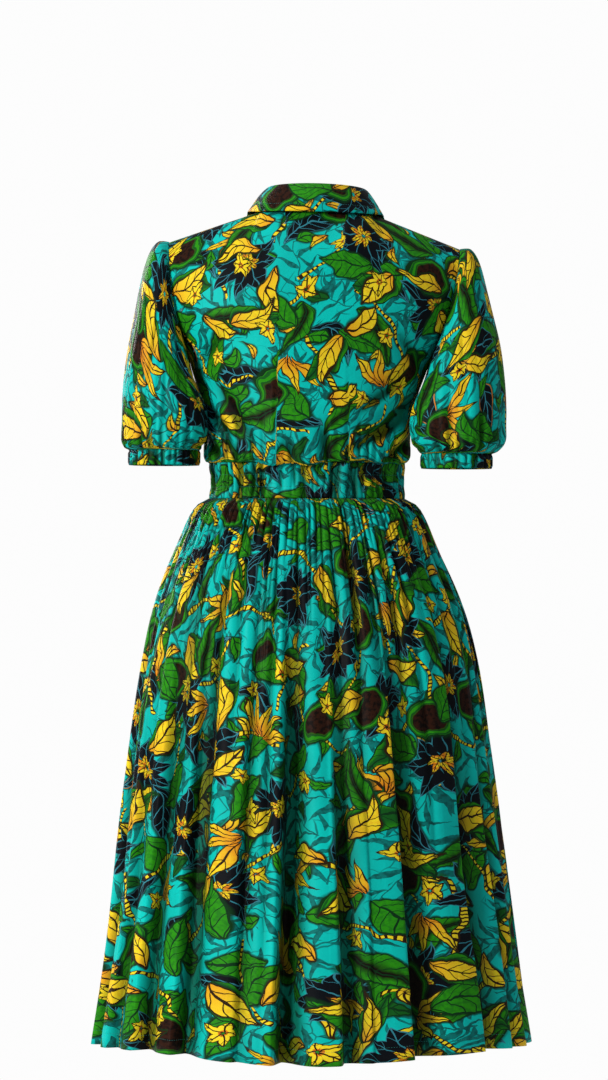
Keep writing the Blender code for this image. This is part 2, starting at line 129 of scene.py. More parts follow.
def feedSocket(socket, feed):
    # a feed is a node, a socket, a value, the name of an ink or None
    if isinstance(feed, str):
        feed = linear(inks[feed])
    if isinstance(feed, bpy.types.Node):
        feed = feed.outputs[0]
    if isinstance(feed, bpy.types.NodeSocket):
        socket.id_data.links.new(feed, socket)
    elif feed is not None:
        socket.default_value = feed


signs = {"+": "ADD", "-": "SUBTRACT", "*": "MULTIPLY", "/": "DIVIDE", "<": "LESS_THAN", ">": "GREATER_THAN"}


def addNode(tree, kind, *feeds, **settings):
    # kind may carry its operation or its group's name after a space; a sign or operation alone is a Math node
    kind, _, choice = kind.partition(" ")
    if kind in signs or kind.isupper():
        kind, choice = "Math", signs.get(kind, kind)
    made = tree.nodes.new("ShaderNode" + kind)
    if kind == "Group":
        made.node_tree = bpy.data.node_groups[choice]
    elif choice:
        made.operation = choice
    for setting, value in settings.items():
        setattr(made, setting, value)
    for socket, feed in zip(made.inputs, feeds):
        feedSocket(socket, feed)
    return made


def startMaterial(name):
    material = bpy.data.materials.new(name)
    material.use_nodes = True
    return material, partial(addNode, material.node_tree)


def finishMaterial(material, settings):
    # settings by the name of the shader's socket
    for name, feed in settings.items():
        feedSocket(material.node_tree.nodes["Principled BSDF"].inputs[name], feed)
    return material


# stage: camera level with the ribs, looking at the back of the dress

view = {"place": (0.0096, 4.8, -0.441), "lens": 116.8, "lampsFace": -0.55,
        "floorZ": -1.46, "floorRadius": 1.6}

cameraData = bpy.data.cameras.new("camera")
cameraData.lens = view["lens"]
cameraData.sensor_width = 36.0
camera = addObject("camera", cameraData)
camera.location = view["place"]
camera.rotation_euler = (pi / 2, 0.0, pi)
bpy.context.scene.camera = camera
bpy.context.scene.view_settings.view_transform = "Standard"

studio = {
    # name: place, size, watts, colour; the key stands to the wearer's left, so the folds shade to the right
    "key": ((3.5, 2.9, 0.8), 1.1, 192, "#FFFAF4"),
    "fill": ((-3.0, 3.2, -0.2), 2.8, 14, "#F2F8FF"),
    "front": ((2.6, -3.4, 0.9), 1.6, 105, "#FFFFFF"),
    "top": ((0.3, 0.2, 3.0), 2.2, 34, "#FFFFFF"),
}
for lampName, (place, size, watts, colour) in studio.items():
    lampData = bpy.data.lights.new(lampName, "AREA")
    lampData.shape = "DISK"
    lampData.size = size
    lampData.energy = watts
    lampData.color = linear(colour)[:3]
    lamp = addObject(lampName, lampData)
    lamp.location = place
    lamp.rotation_euler = (up(view["lampsFace"]) - lamp.location).to_track_quat("-Z", "Y").to_euler()

# white paper all round, seen at full brightness but lighting the cloth only softly
world = bpy.data.worlds.new("paleStudio")
world.use_nodes = True
rays = addNode(world.node_tree, "LightPath").outputs["Is Camera Ray"]
paper = world.node_tree.nodes["Background"].inputs
feedSocket(paper["Color"], linear("#FFFFFF"))
feedSocket(paper["Strength"], addNode(world.node_tree, "MapRange", rays, None, None, 0.27, 0.98))
bpy.context.scene.world = world
print("camera and lights placed")


# materials

def startGroup(name, inputs, outputs):
    # sockets by name: Cloth and Place are vectors, the rest are numbers
    tree = bpy.data.node_groups.new(name, "ShaderNodeTree")
    for way, sockets in (("INPUT", inputs), ("OUTPUT", outputs)):
        for socket in sockets.split():
            kind = "Vector" if socket in ("Cloth", "Place") else "Float"
            tree.interface.new_socket(socket, in_out=way, socket_type="NodeSocket" + kind)
    start = tree.nodes.new("NodeGroupInput")
    return partial(addNode, tree), list(start.outputs)[:len(inputs.split())]


def finishGroup(name, *results):
    for socket, result in zip(bpy.data.node_groups[name].nodes.new("NodeGroupOutput").inputs, results):
        feedSocket(socket, result)


def makePrintSpot():
    # cuts the cloth into turned squares and sets one motif loosely in each
    add, (cloth, square, gridTurn, seed, stray) = startGroup(
        "printSpot", "Cloth Square GridTurn Seed Stray", "Place Chance Luck")
    turned = add("VectorRotate", cloth, None, None, gridTurn, rotation_type="Z_AXIS")
    counted = add("VectorMath SCALE", turned, None, None, add("/", 1.0, square))
    inCell = add("VectorMath SUBTRACT", add("VectorMath FRACTION", counted), (0.5, 0.5, 0.0))
    cellSeed = add("VectorMath ADD", add("VectorMath FLOOR", counted), add("CombineXYZ", 0.0, 0.0, seed))
    draw, colour = add("TexWhiteNoise", cellSeed, noise_dimensions="3D").outputs
    offCentre = add("VectorMath SUBTRACT", colour, (0.5, 0.5, 0.5))
    strayed = add("VectorMath MULTIPLY", offCentre, (2.0, 2.0, 0.0))
    strayed = add("VectorMath SCALE", strayed, None, None, stray)
    local = add("VectorMath SCALE", add("VectorMath SUBTRACT", inCell, strayed), None, None, square)
    flat = add("VectorMath MULTIPLY", local, (1.0, 1.0, 0.0))
    place = add("VectorRotate", flat, None, None, add("*", draw, 2.0 * pi), rotation_type="Z_AXIS")
    luck = add("FRACT", add("*", draw, 7.31))
    finishGroup("printSpot", place, add("SeparateXYZ", colour).outputs["Z"], luck)


def makeLeafShape():
    # one pointed leaf along Y with a rib, side veins and an outline
    add, (place, length, width, bend, veinStep, lineWidth) = startGroup(
        "leafShape", "Place Length Width Bend VeinStep Line", "Inside Line Along Depth Halo")
    x, y, _ = add("SeparateXYZ", place).outputs
    along = add("+", add("/", y, length), 0.5, use_clamp=True)
    bow = add("*", bend, add("/", add("POWER", y, 2.0), length))
    across = add("ABSOLUTE", add("-", x, bow))
    swell = add("SINE", add("*", add("POWER", along, 0.78), pi))
    halfWidth = add("*", add("*", width, 0.5), swell)
    depth = add("-", halfWidth, across)
    inside = add(">", depth, 0.0)
    rim = add("<", depth, lineWidth)
    rib = add("<", across, add("*", lineWidth, 0.55))
    slant = add("-", y, add("*", across, 1.1))
    vein = add("<", add("FRACT", add("/", slant, veinStep)), add("/", add("*", lineWidth, 0.8), veinStep))
    line = add("*", add("MAXIMUM", add("MAXIMUM", rim, rib), vein), inside)
    relative = add("/", depth, add("MAXIMUM", halfWidth, 0.0005))
    near = add("<", add("ABSOLUTE", y), add("*", length, 0.5))
    halo = add("*", add("MapRange", depth, -0.0028, -0.0008, 0.0, 1.0), near)
    finishGroup("leafShape", inside, line, along, relative, halo)


def makePetalRing():
    # leaves set round a centre; only those within the spread of the +Y axis are printed
    add, (place, petals, spread, length, width, hollow, veinStep, lineWidth) = startGroup(
        "petalRing", "Place Petals Spread Length Width Hollow VeinStep Line", "Inside Line Along Radius")
    x, y, _ = add("SeparateXYZ", place).outputs
    radius = add("VectorMath LENGTH", place).outputs["Value"]
    angle = add("ARCTAN2", x, y)
    pitch = add("/", 2.0 * pi, petals)
    number = add("ROUND", add("/", angle, pitch))
    petalAngle = add("*", number, pitch)
    fromPetal = add("-", angle, petalAngle)
    draw = add("TexWhiteNoise", None, add("+", number, 3.7), noise_dimensions="1D")
    petalLength = add("*", length, add("MULTIPLY_ADD", draw, 0.35, 0.75))
    petalMiddle = add("+", hollow, add("*", petalLength, 0.5))
    outwards = add("-", add("*", radius, add("COSINE", fromPetal)), petalMiddle)
    petalPlace = add("CombineXYZ", add("*", radius, add("SINE", fromPetal)), outwards, 0.0)
    petal = add("Group leafShape", petalPlace, petalLength, width, 0.25, veinStep, lineWidth).outputs
    kept = add("<", add("ABSOLUTE", petalAngle), spread)
    inside, line = (add("*", petal[part], kept) for part in ("Inside", "Line"))
    finishGroup("petalRing", inside, line, petal["Along"], radius)


def makeSprigShape():
    # thin stem with pairs of narrow leaves
    add, (place, halfLength, pairStep, leafLength) = startGroup(
        "sprigShape", "Place HalfLength PairStep LeafLength", "Inside")
    x, y, _ = add("SeparateXYZ", place).outputs
    sideways = add("-", x, add("*", add("POWER", y, 2.0), 3.5))
    across = add("ABSOLUTE", sideways)
    stagger = add("*", add("SIGN", sideways), 0.25)
    slant = add("-", y, add("*", across, 0.9))
    beat = add("FRACT", add("+", add("/", slant, pairStep), stagger))
    reach = add("/", across, leafLength, use_clamp=True)
    swell = add("*", add("SINE", add("*", add("POWER", reach, 0.8), pi)), 0.155)
    leaf = add("<", add("ABSOLUTE", add("-", beat, 0.5)), swell)
    kept = add("<", add("ABSOLUTE", y), halfLength)
    finishGroup("sprigShape", add("*", add("MAXIMUM", leaf, add("<", across, 0.0008)), kept))


# colours of the print and of what goes with it; a wax print has flat dye colours, hand-cut outlines and the
# same face on both sides
inks = {
    "ground": "#00C0B8", "groundDeep": "#00A8A2", "tonal": "#07726E", "tonalDeep": "#055653",
    "yellow": "#EBD224", "orange": "#D9801A", "brownLine": "#2B1A08",
    "green": "#278A0F", "greenDeep": "#10561A", "greenLine": "#073214",
    "black": "#040910", "aquaLine": "#3A93A6", "pod": "#2C1409", "podDark": "#100603",
    "thread": "#07706E", "threadPale": "#0B8F8A", "resin": "#0A3B3C", "resinPale": "#14696A",
    "paint": "#F4F4F2",
}

# the printed layers, from the first laid down to the last: motif, square of cloth that holds one (m), turn
# of the grid, seed, how far a motif strays from the middle of its square, share of squares used, size
layers = (
    ("sprig", 0.086, 0.35, 11.0, 0.06, 1.00, 1.00),
    ("sprig", 0.098, 1.22, 23.0, 0.06, 1.00, 1.15),
    ("sprig", 0.074, 0.85, 19.0, 0.08, 0.65, 0.85),
    ("darkLeaf", 0.122, 0.47, 29.0, 0.06, 0.60, 1.00),
    ("smallLeaf", 0.050, 0.55, 37.0, 0.16, 0.50, 0.95),
    ("greenLeaf", 0.098, 0.15, 41.0, 0.10, 0.90, 0.95),
    ("bud", 0.062, 1.31, 43.0, 0.18, 0.40, 1.00),
    ("stem", 0.118, 0.80, 31.0, 0.06, 0.90, 1.10),
    ("darkFlower", 0.128, 0.62, 59.0, 0.04, 0.66, 1.00),
    ("pod", 0.116, 1.40, 61.0, 0.20, 0.45, 1.00),
    ("fan", 0.136, 0.28, 71.0, 0.06, 0.62, 0.95),
    ("greenLeaf", 0.112, 1.05, 47.0, 0.10, 0.62, 1.05),
    ("yellowLeaf", 0.092, 0.95, 83.0, 0.12, 0.48, 0.92),
    ("backedLeaf", 0.114, 0.50, 89.0, 0.10, 0.55, 1.05),
    ("blossom", 0.078, 1.15, 97.0, 0.25, 0.42, 0.95),
)

# the cloth's finish: scales of patterns, with the shift or height of some in metres. A scale is 1 over the
# size in metres: waver 38 mm, patches 111, mottle 6, cracks 28, crumple 24; but a wave repeats each 0.314 m
# over its scale, so the weave each 1.26 mm
clothFinish = {
    "waver": (26.0, 0.022), "patches": 9.0, "mottle": 170.0, "cracks": 36.0, "crackWidth": (0.014, 0.034),
    "weave": (250.0, 0.0002), "crumple": (42.0, 0.0025), "paintedCreaseShade": (0.15, 0.25, 0.19, 1.0),
    "roughness": (0.50, 0.62), "gloss": 0.09, "sheen": 0.012,
}


def makeWaxPrint(name):
    # plain-weave cotton, wax-resist dyed and calendered: flat crisp dye colours with a soft waxy sheen
    for makeGroup in (makePrintSpot, makeLeafShape, makePetalRing, makeSprigShape):
        makeGroup()
    material, add = startMaterial(name)
    uv = add("UVMap", uv_map="cloth")

    # the block was cut by hand, so every outline wavers by a few millimetres
    size, shift = clothFinish["waver"]
    waver = add("TexNoise", uv, None, size, 1.5, 0.4, noise_dimensions="2D")
    offCentre = add("VectorMath SUBTRACT", waver.outputs["Color"], (0.5, 0.5, 0.5))
    cloth = add("VectorMath ADD", uv, add("VectorMath MULTIPLY", offCentre, (shift, shift, 0.0)))
    patch = add("TexNoise", uv, None, clothFinish["patches"], 3.0, noise_dimensions="2D")
    mottle = add("TexNoise", uv, None, clothFinish["mottle"], 2.0, noise_dimensions="2D")
    brushed = add("MapRange", mottle, 0.44, 0.62, 0.0, 1.0)

    # each motif takes its place, luck and size, and gives what it lays on the cloth: shapes and their colours

    def sprig(place, luck, size):
        shape = add("Group sprigShape", place, 0.036 * size, 0.027 * size, 0.031 * size)
        return [(shape, add("MixRGB", brushed, "tonal", "tonalDeep"))]

    def stem(place, luck, size):
        # beads on an arc
        x, y, _ = add("SeparateXYZ", place).outputs
        offStem = add("ABSOLUTE", add("-", x, add("*", add("POWER", y, 2.0), 5.0)))
        onStem = add("*", add("<", offStem, 0.0030), add("<", add("ABSOLUTE", y), 0.055 * size))
        bead = add("<", add("FRACT", add("/", y, 0.0065)), 0.58)
        return [(onStem, add("MixRGB", add("*", bead, add("<", offStem, 0.0019)), "brownLine", "yellow"))]

    def leaf(place, luck, size, length, width, bend, veinStep, line=0.0017):
        length *= size
        grown = add("MULTIPLY_ADD", luck, 0.22 * length, 0.84 * length)
        return add("Group leafShape", place, grown, width * size, bend, veinStep, line).outputs

    def lined(shape, fill, line):
        return shape["Inside"], add("MixRGB", shape["Line"], fill, line)

    def shadow(shape, strength, tone="greenLine"):
        return add("*", shape["Halo"], strength), tone

    def darkLeaf(place, luck, size):
        shape = leaf(place, luck, size, 0.098, 0.029, 0.8, 0.0150)
        lit = add("MixRGB", add("*", shape["Line"], 0.75), "black", "aquaLine")
        lit = add("MixRGB", add("MapRange", shape["Depth"], 0.0, 0.22, 1.0, 0.0), lit, "black")
        gold = add("*", add("<", shape["Depth"], 0.09), add(">", luck, 0.78))
        return [shadow(shape, 0.8), (shape["Inside"], add("MixRGB", gold, lit, "orange"))]

    def greenLeaf(place, luck, size):
        shape = leaf(place, luck, size, 0.084, 0.037, 0.40, 0.0130, 0.0018)
        hollow = add("*", add("MapRange", shape["Depth"], 0.42, 0.85, 0.0, 1.0), add(">", luck, 0.66))
        fill = add("MixRGB", add("*", brushed, 0.45), "green", "greenDeep")
        return [shadow(shape, 0.85), lined(shape, add("MixRGB", hollow, fill, "podDark"), "greenLine")]

    def smallLeaf(place, luck, size):
        shape = leaf(place, luck, size, 0.040, 0.018, 0.9, 0.0110)
        fill = add("MixRGB", add(">", luck, 0.55), "green", "greenDeep")
        return [shadow(shape, 0.7), lined(shape, fill, "greenLine")]

    def bud(place, luck, size):
        # small split leaf, warm at its foot
        shape = leaf(place, luck, size, 0.034, 0.014, -0.9, 0.0120)
        fill = add("MixRGB", add("MapRange", shape["Along"], 0.0, 0.7, 1.0, 0.0), "yellow", "orange")
        return [shadow(shape, 0.7, "greenDeep"), lined(shape, fill, "brownLine")]

    def darkFlower(place, luck, size):
        petals = add("MULTIPLY_ADD", add("ROUND", add("*", luck, 2.0)), 1.0, 7.0)
        shape = add("Group petalRing", place, petals, 4.0, 0.049 * size, 0.024 * size,
                    0.004, 0.026, 0.0011).outputs
        heart = add("Group petalRing", place, 7.0, 4.0, 0.016, 0.009, 0.002, 0.005, 0.0010).outputs
        petal = add("MixRGB", add("*", shape["Line"], 0.7), "black", "aquaLine")
        fill = add("MixRGB", brushed, "yellow", "orange")
        return [(shape["Inside"], petal), lined(heart, fill, "brownLine")]

    def pod(place, luck, size):
        # green rind round a dark kernel
        scaled = add("VectorMath MULTIPLY", place, (1 / 0.027, 1 / 0.035, 0.0))
        egg = add("VectorMath LENGTH", scaled).outputs["Value"]
        rings = add(">", add("SINE", add("*", egg, 44.0)), 0.35)
        rind = add("MixRGB", add(">", egg, 0.93), add("MixRGB", rings, "green", "greenDeep"), "greenLine")
        kernel = add("MixRGB", brushed, "pod", "podDark")
        drawn = add("MixRGB", add("MapRange", egg, 0.76, 0.68, 0.0, 1.0), rind, kernel)
        halo = add("*", add("MapRange", egg, 1.09, 1.0, 0.0, 1.0), 0.8)
        return [(halo, "greenLine"), (add("<", egg, 1.0), drawn)]

    def fan(place, luck, size):
        petals = add("MULTIPLY_ADD", add("ROUND", add("*", luck, 3.0)), 1.0, 8.0)
        shape = add("Group petalRing", place, petals, 1.25, 0.062 * size, 0.0165 * size,
                    0.001, 0.020, 0.0015).outputs
        fill = add("MixRGB", add("MapRange", shape["Along"], 0.1, 0.7, 0.0, 1.0), "orange", "yellow")
        return [lined(shape, add("MixRGB", add("*", brushed, 0.35), fill, "orange"), "brownLine")]

    def yellowLeaf(place, luck, size):
        shape = leaf(place, luck, size, 0.074, 0.028, -0.55, 0.0140, 0.0020)
        warmth = add("MAXIMUM", add("MapRange", shape["Along"], 0.0, 0.5, 0.85, 0.0), add("*", brushed, 0.30))
        return [shadow(shape, 0.85), lined(shape, add("MixRGB", warmth, "yellow", "orange"), "brownLine")]

    def backedLeaf(place, luck, size):
        # a dark leaf shows on one side behind the yellow one
        turned = add("VectorRotate", place, None, None, 0.55, rotation_type="Z_AXIS")
        behind = leaf(turned, luck, size, 0.078, 0.038, 0.3, 0.0150)
        fill = add("MixRGB", add("MapRange", behind["Depth"], 0.1, 0.6, 0.0, 1.0), "green", "greenDeep")
        return [lined(behind, fill, "greenLine")] + yellowLeaf(place, luck, size)

    def blossom(place, luck, size):
        shape = add("Group petalRing", place, 5.0, 4.0, 0.0165 * size, 0.0125 * size,
                    0.0008, 0.02, 0.0013).outputs
        fill = add("MixRGB", add("<", shape["Radius"], 0.0042), "yellow", "orange")
        return [lined(shape, fill, "brownLine")]

    motifs = {made.__name__: made for made in (sprig, stem, darkLeaf, smallLeaf, greenLeaf, bud, darkFlower,
                                               pod, fan, yellowLeaf, backedLeaf, blossom)}
    colour = add("MixRGB", add("MapRange", patch, 0.42, 0.75, 0.0, 0.8), "ground", "groundDeep")
    # the wax cracks as the cloth is handled, and dark dye runs into the cracks in broken veins
    cracks = add("TexVoronoi", cloth, None, clothFinish["cracks"], feature="DISTANCE_TO_EDGE",
                 voronoi_dimensions="2D")
    vein = add("MapRange", cracks.outputs["Distance"], *clothFinish["crackWidth"], 1.0, 0.0)
    broken = add("MapRange", waver, 0.48, 0.64, 0.0, 0.80)
    colour = add("MixRGB", add("*", vein, broken), colour, "tonalDeep")
    for motif, square, gridTurn, seed, stray, used, size in layers:
        place, chance, luck = add("Group printSpot", cloth, square, gridTurn, seed, stray).outputs
        kept = add("<", chance, used)
        for shape, over in motifs[motif](place, luck, size):
            colour = add("MixRGB", add("*", shape, kept), colour, over)

    # painted shade: the print is darkened towards a deep green in the creases, the deeper the fold the darker
    depth = add("Attribute", attribute_name="foldShade").outputs["Fac"]
    creased = add("MapRange", depth, 0.05, 0.98, 0.0, 1.0, interpolation_type="SMOOTHSTEP")
    shade = add("MixRGB", creased, (1.0, 1.0, 1.0, 1.0), clothFinish["paintedCreaseShade"])
    shaded = add("VectorMath MULTIPLY", colour, shade)

    # plain weave, a thread pair each 1.26 mm where the cloth has 0.7 mm, so that it shows; crumple over it
    size, height = clothFinish["weave"]
    warp, weft = (add("TexWave", uv, size, bands_direction=way).outputs["Fac"] for way in "XY")
    fine = add("Bump", 0.18, height, None, add("*", warp, weft))
    size, height = clothFinish["crumple"]
    crumple = add("TexNoise", uv, None, size, 3.0, 0.55, noise_dimensions="2D")
    coarse = add("Bump", 0.35, height, None, crumple)
    feedSocket(coarse.inputs["Normal"], fine)
    roughness = add("MapRange", patch, 0.3, 0.7, *clothFinish["roughness"])
    return finishMaterial(material, {
        "Base Color": shaded, "Normal": coarse, "Roughness": roughness, "Metallic": 0.0, "IOR": 1.46,
        "Specular IOR Level": clothFinish["gloss"], "Sheen Weight": clothFinish["sheen"],
        "Sheen Roughness": 0.5})


def makeThreadMaterial(name):
    # spun polyester sewing thread, matt with a faint fibre to it
    material, add = startMaterial(name)
    fibre = add("TexNoise", add("TexCoord").outputs["Object"], None, 2600.0, 2.0)
    tint = add("MixRGB", add("MapRange", fibre, 0.35, 0.65, 0.0, 1.0), "thread", "threadPale")
    return finishMaterial(material, {"Base Color": tint, "Normal": add("Bump", 0.4, 0.0001, None, fibre),
                                     "Metallic": 0.0, "IOR": 1.54, "Roughness": 0.62})


def makeResinMaterial(name):
    # cast polyester button resin, tumbled to a low polish, with slow swirls of tone in it
    material, add = startMaterial(name)
    swirl = add("TexNoise", add("TexCoord").outputs["Object"], None, 210.0, 3.0, 0.5, None, 1.6)
    tint = add("MixRGB", add("MapRange", swirl, 0.35, 0.65, 0.0, 1.0), "resin", "resinPale")
    polish = add("MapRange", swirl, 0.3, 0.7, 0.24, 0.36)
    return finishMaterial(material, {"Base Color": tint, "Roughness": polish, "Metallic": 0.0, "IOR": 1.56})


def makePaintMaterial(name):
    # matt white emulsion, a plain pale ground
    return finishMaterial(startMaterial(name)[0], {"Base Color": "paint", "Roughness": 0.9})


waxPrint = makeWaxPrint("waxPrintCotton")
thread = makeThreadMaterial("polyesterThread")
resin = makeResinMaterial("castResin")
paint = makePaintMaterial("studioPaint")
print("materials made")


# folds: each one is a soft trough across a surface, with its own width, depth, length and slant

def scatterFolds(seed, count, first, last, halfWidth, depth, top, length, slant=0.0):
    # halfWidth, depth and length are (least, most); gives the folds' places and the folds
    draw = random.Random(seed)
    pitch = (last - first) / count
    folds = []
    for number in range(count):
        place = first + pitch * (number + 0.5 + draw.uniform(-0.32, 0.32))
        run = draw.uniform(*length)
        folds.append((place, pitch * draw.uniform(*halfWidth), draw.uniform(*depth), top, top + run,
                      draw.uniform(-slant, slant)))
    folds.sort()
    return [fold[0] for fold in folds], folds


def foldDepth(scattered, place, down, sharp=2.0, closed=True, near=4):
    # depth of the folds at a place across and a way down, which runs as the folds' lengths do; a sharp of
    # about 1 draws each trough to a slit where 2 leaves it round; a closed run goes round from 0 to 1
    places, folds = scattered
    at = bisect_left(places, place)
    total = 0.0
    for index in range(at - near, at + near):
        if not closed and not 0 <= index < len(folds):
            continue
        centre, halfWidth, depth, top, bottom, slant = folds[index % len(folds)]
        apart = place - centre - slant * (down - top)
        if closed:
            apart = (apart + 0.5) % 1.0 - 0.5
        if abs(apart) <= 4.0 * halfWidth:
            fade = 1.0 - smoothStep(top + (bottom - top) * 0.35, bottom, down)
            total += depth * fade * fadeFrom(0.0, apart, halfWidth, sharp)
    return total


# the worn shape, as the solids have it: +X is the wearer's left and the front faces -Y

body = {
    "waistTop": -0.3365, "waistBottom": -0.3845, "hem": -1.126,
    "shoulderTilt": 0.025, "swayHeights": (-1.13, -0.36, 0.06), "swayShifts": (0.003, 0.006, -0.009),
}
cloth = {"wall": 0.0008, "seam": 0.0001}


def posed(point):
    sway = curveThrough(body["swayHeights"], body["swayShifts"], point.z)
    tilt = body["shoulderTilt"] * smoothStep(-0.45, 0.0, point.z)
    return Vector((point.x + sway, point.y, point.z + tilt * point.x))


def finishPiece(name, node, slot, made, *materials):
    mesh = bpy.data.meshes.new(name)
    made.to_mesh(mesh)
    made.free()
    mesh.shade_smooth()
    for material in materials:
        mesh.materials.append(material)
    piece = addObject(name, mesh)
    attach(piece, "root")
    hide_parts(node)
    print("made", name)
    return piece


def makeCloth(name, node, columns, rows, surface, printPlace, flatWidth=None, slot="printed_cotton",
              turned=False, tube=False, slack=3.0, wall=cloth["wall"], darts=()):
    # grid moved onto the surface; its UVs are metres of flat cloth, with the spare cloth lying in the folds
    sheet = bmesh.new()
    bmesh.ops.create_grid(sheet, x_segments=len(columns) - 1, y_segments=len(rows) - 1, size=1.0)
    sheet.verts.ensure_lookup_table()
    # painted shade: how deep each point's fold lies, which sets where the spare cloth lies and how much the
    # print is darkened there
    shadeLayer = sheet.verts.layers.float.new("foldShade")
    uvLayer = sheet.loops.layers.uv.new("cloth")
    count = len(columns)
    downs = [0.0] * count
    flat = {}
    above = None
    for rowNumber, row in enumerate(rows):
        line = [sheet.verts[rowNumber * count + number] for number in range(count)]
        for vert, column in zip(line, columns):
            vert.co, shade = surface(column, row)
            vert[shadeLayer] = min(1.0, shade)
        widths = [0.0]
        for before, after in zip(line, line[1:]):
            spare = 1.0 + slack * (before[shadeLayer] + after[shadeLayer]) / 2
            hidden = dartIntake(darts, before.co.x, after.co.x, after.co.z)
            widths.append(widths[-1] + (after.co - before.co).length * spare + hidden)
        stretch = flatWidth / widths[-1] if flatWidth else 1.0
        if above:
            downs = [down + (vert.co - over.co).length for down, vert, over in zip(downs, line, above)]
        level = sum(downs) / count
        for vert, width, down in zip(line, widths, downs):
            across = (width - widths[-1] / 2) * stretch
            flat[vert.index] = (across + printPlace[0], down * 0.5 + level * 0.5 + printPlace[1])
        above = line
    for face in sheet.faces:
        for loop in face.loops:
            loop[uvLayer].uv = flat[loop.vert.index]
    if tube:
        bmesh.ops.remove_doubles(sheet, verts=sheet.verts, dist=0.00002)
    if turned:
        bmesh.ops.reverse_faces(sheet, faces=sheet.faces)
    piece = finishPiece(name, node, slot, sheet, waxPrint)
    thickness = piece.modifiers.new("wall", "SOLIDIFY")
    thickness.thickness = wall
    thickness.offset = -1.0
    thickness.use_even_offset = False
    return piece


def dartIntake(darts, x1, x2, z):
    # cloth folded away where a row of the panel crosses a dart
    total = 0.0
    for wideX, wideZ, pointX, pointZ, lift, intake in darts:
        along = (z - wideZ) / (pointZ - wideZ)
        if 0.0 <= along <= 1.0 and min(x1, x2) <= wideX + (pointX - wideX) * along < max(x1, x2):
            total += intake * (1.0 - along)
    return total


# neck and bodice

neck = {"halfWidth": 0.074, "halfDepth": 0.0755, "centreY": -0.0095, "backZ": 0.008, "sideZ": 0.009,
        "frontZ": -0.055, "share": 1.0 / 3.0}

bodice = {
    "tip": Vector((0.198, 0.0, -0.038)), "underarm": 0.40, "crestShare": 0.92, "overlap": 1.0 / 18.0,
    "overlapLift": 0.0022, "hang": 0.0125, "billow": 0.0016,
}
panels = {}

# sections: share of the way up, centre y, centre z, side x, side y, side z, squareness, roundness
# crest: how far the cloth stands off and hangs below its top edge, at the centre, the shoulder and the tip
# creases, seen square on: x and z of one end, x and z of the other, half width, depth
# darts: x and z of the wide end, x and z of the point, how far one lip stands over the other, and the cloth
# folded away at the wide end
# puckers: short folds where the bodice is drawn into the waistband; lengths run as shares of the way up
panels["back"] = {
    "facing": 1.0, "crest": ((0.009, 0.019), (0.034, 0.006), (0.021, 0.005)),
    "puckers": scatterFolds(5, 38, -1.0, 1.0, (0.22, 0.36), (0.0016, 0.0046), 0.0, (0.06, 0.24)),
    "sections": (
        (0.00, 0.098, -0.3362, 0.1345, 0.000, -0.3362, 2.0, 0.50),
        (0.05, 0.107, -0.3220, 0.1410, 0.000, -0.3225, 2.1, 0.50),
        (0.14, 0.110, -0.2900, 0.1415, 0.000, -0.2930, 2.2, 0.50),
        (0.28, 0.108, -0.2380, 0.1485, 0.000, -0.2480, 2.3, 0.50),
        (0.40, 0.112, -0.1920, 0.1620, 0.000, -0.2050, 2.4, 0.50),
        (0.56, 0.115, -0.1350, 0.1840, 0.041, -0.1380, 2.4, 0.72),
        (0.76, 0.101, -0.0640, 0.1940, 0.040, -0.0840, 2.4, 0.90),
    ),
    "creases": (
        (0.132, -0.262, 0.098, -0.322, 0.0070, 0.0088),
        (0.120, -0.232, 0.070, -0.318, 0.0090, 0.0068),
        (0.140, -0.300, 0.112, -0.330, 0.0050, 0.0068),
        (-0.140, -0.250, -0.096, -0.300, 0.0080, 0.0099),
        (-0.134, -0.276, -0.060, -0.316, 0.0065, 0.0085),
        (-0.124, -0.226, -0.070, -0.268, 0.0080, 0.0068),
        (-0.140, -0.302, -0.104, -0.328, 0.0050, 0.0068),
        (0.030, -0.300, 0.012, -0.330, 0.0070, 0.0051),
        (-0.020, -0.286, -0.030, -0.330, 0.0070, 0.0054),
        (0.150, -0.205, 0.118, -0.165, 0.0100, 0.0051),
        (-0.152, -0.208, -0.120, -0.160, 0.0100, 0.0054),
        (0.058, -0.040, 0.090, -0.088, 0.0110, 0.0027),
        (-0.070, -0.050, -0.098, -0.096, 0.0110, 0.0027),
    ),
    "darts": (
        (-0.047, 0.006, -0.041, -0.084, 0.0022, 0.030),
        (0.035, 0.008, 0.033, -0.036, 0.0020, 0.022),
        (0.047, -0.338, 0.044, -0.100, 0.0018, 0.034),
        (-0.052, -0.338, -0.050, -0.196, 0.0016, 0.028),
    ),
}
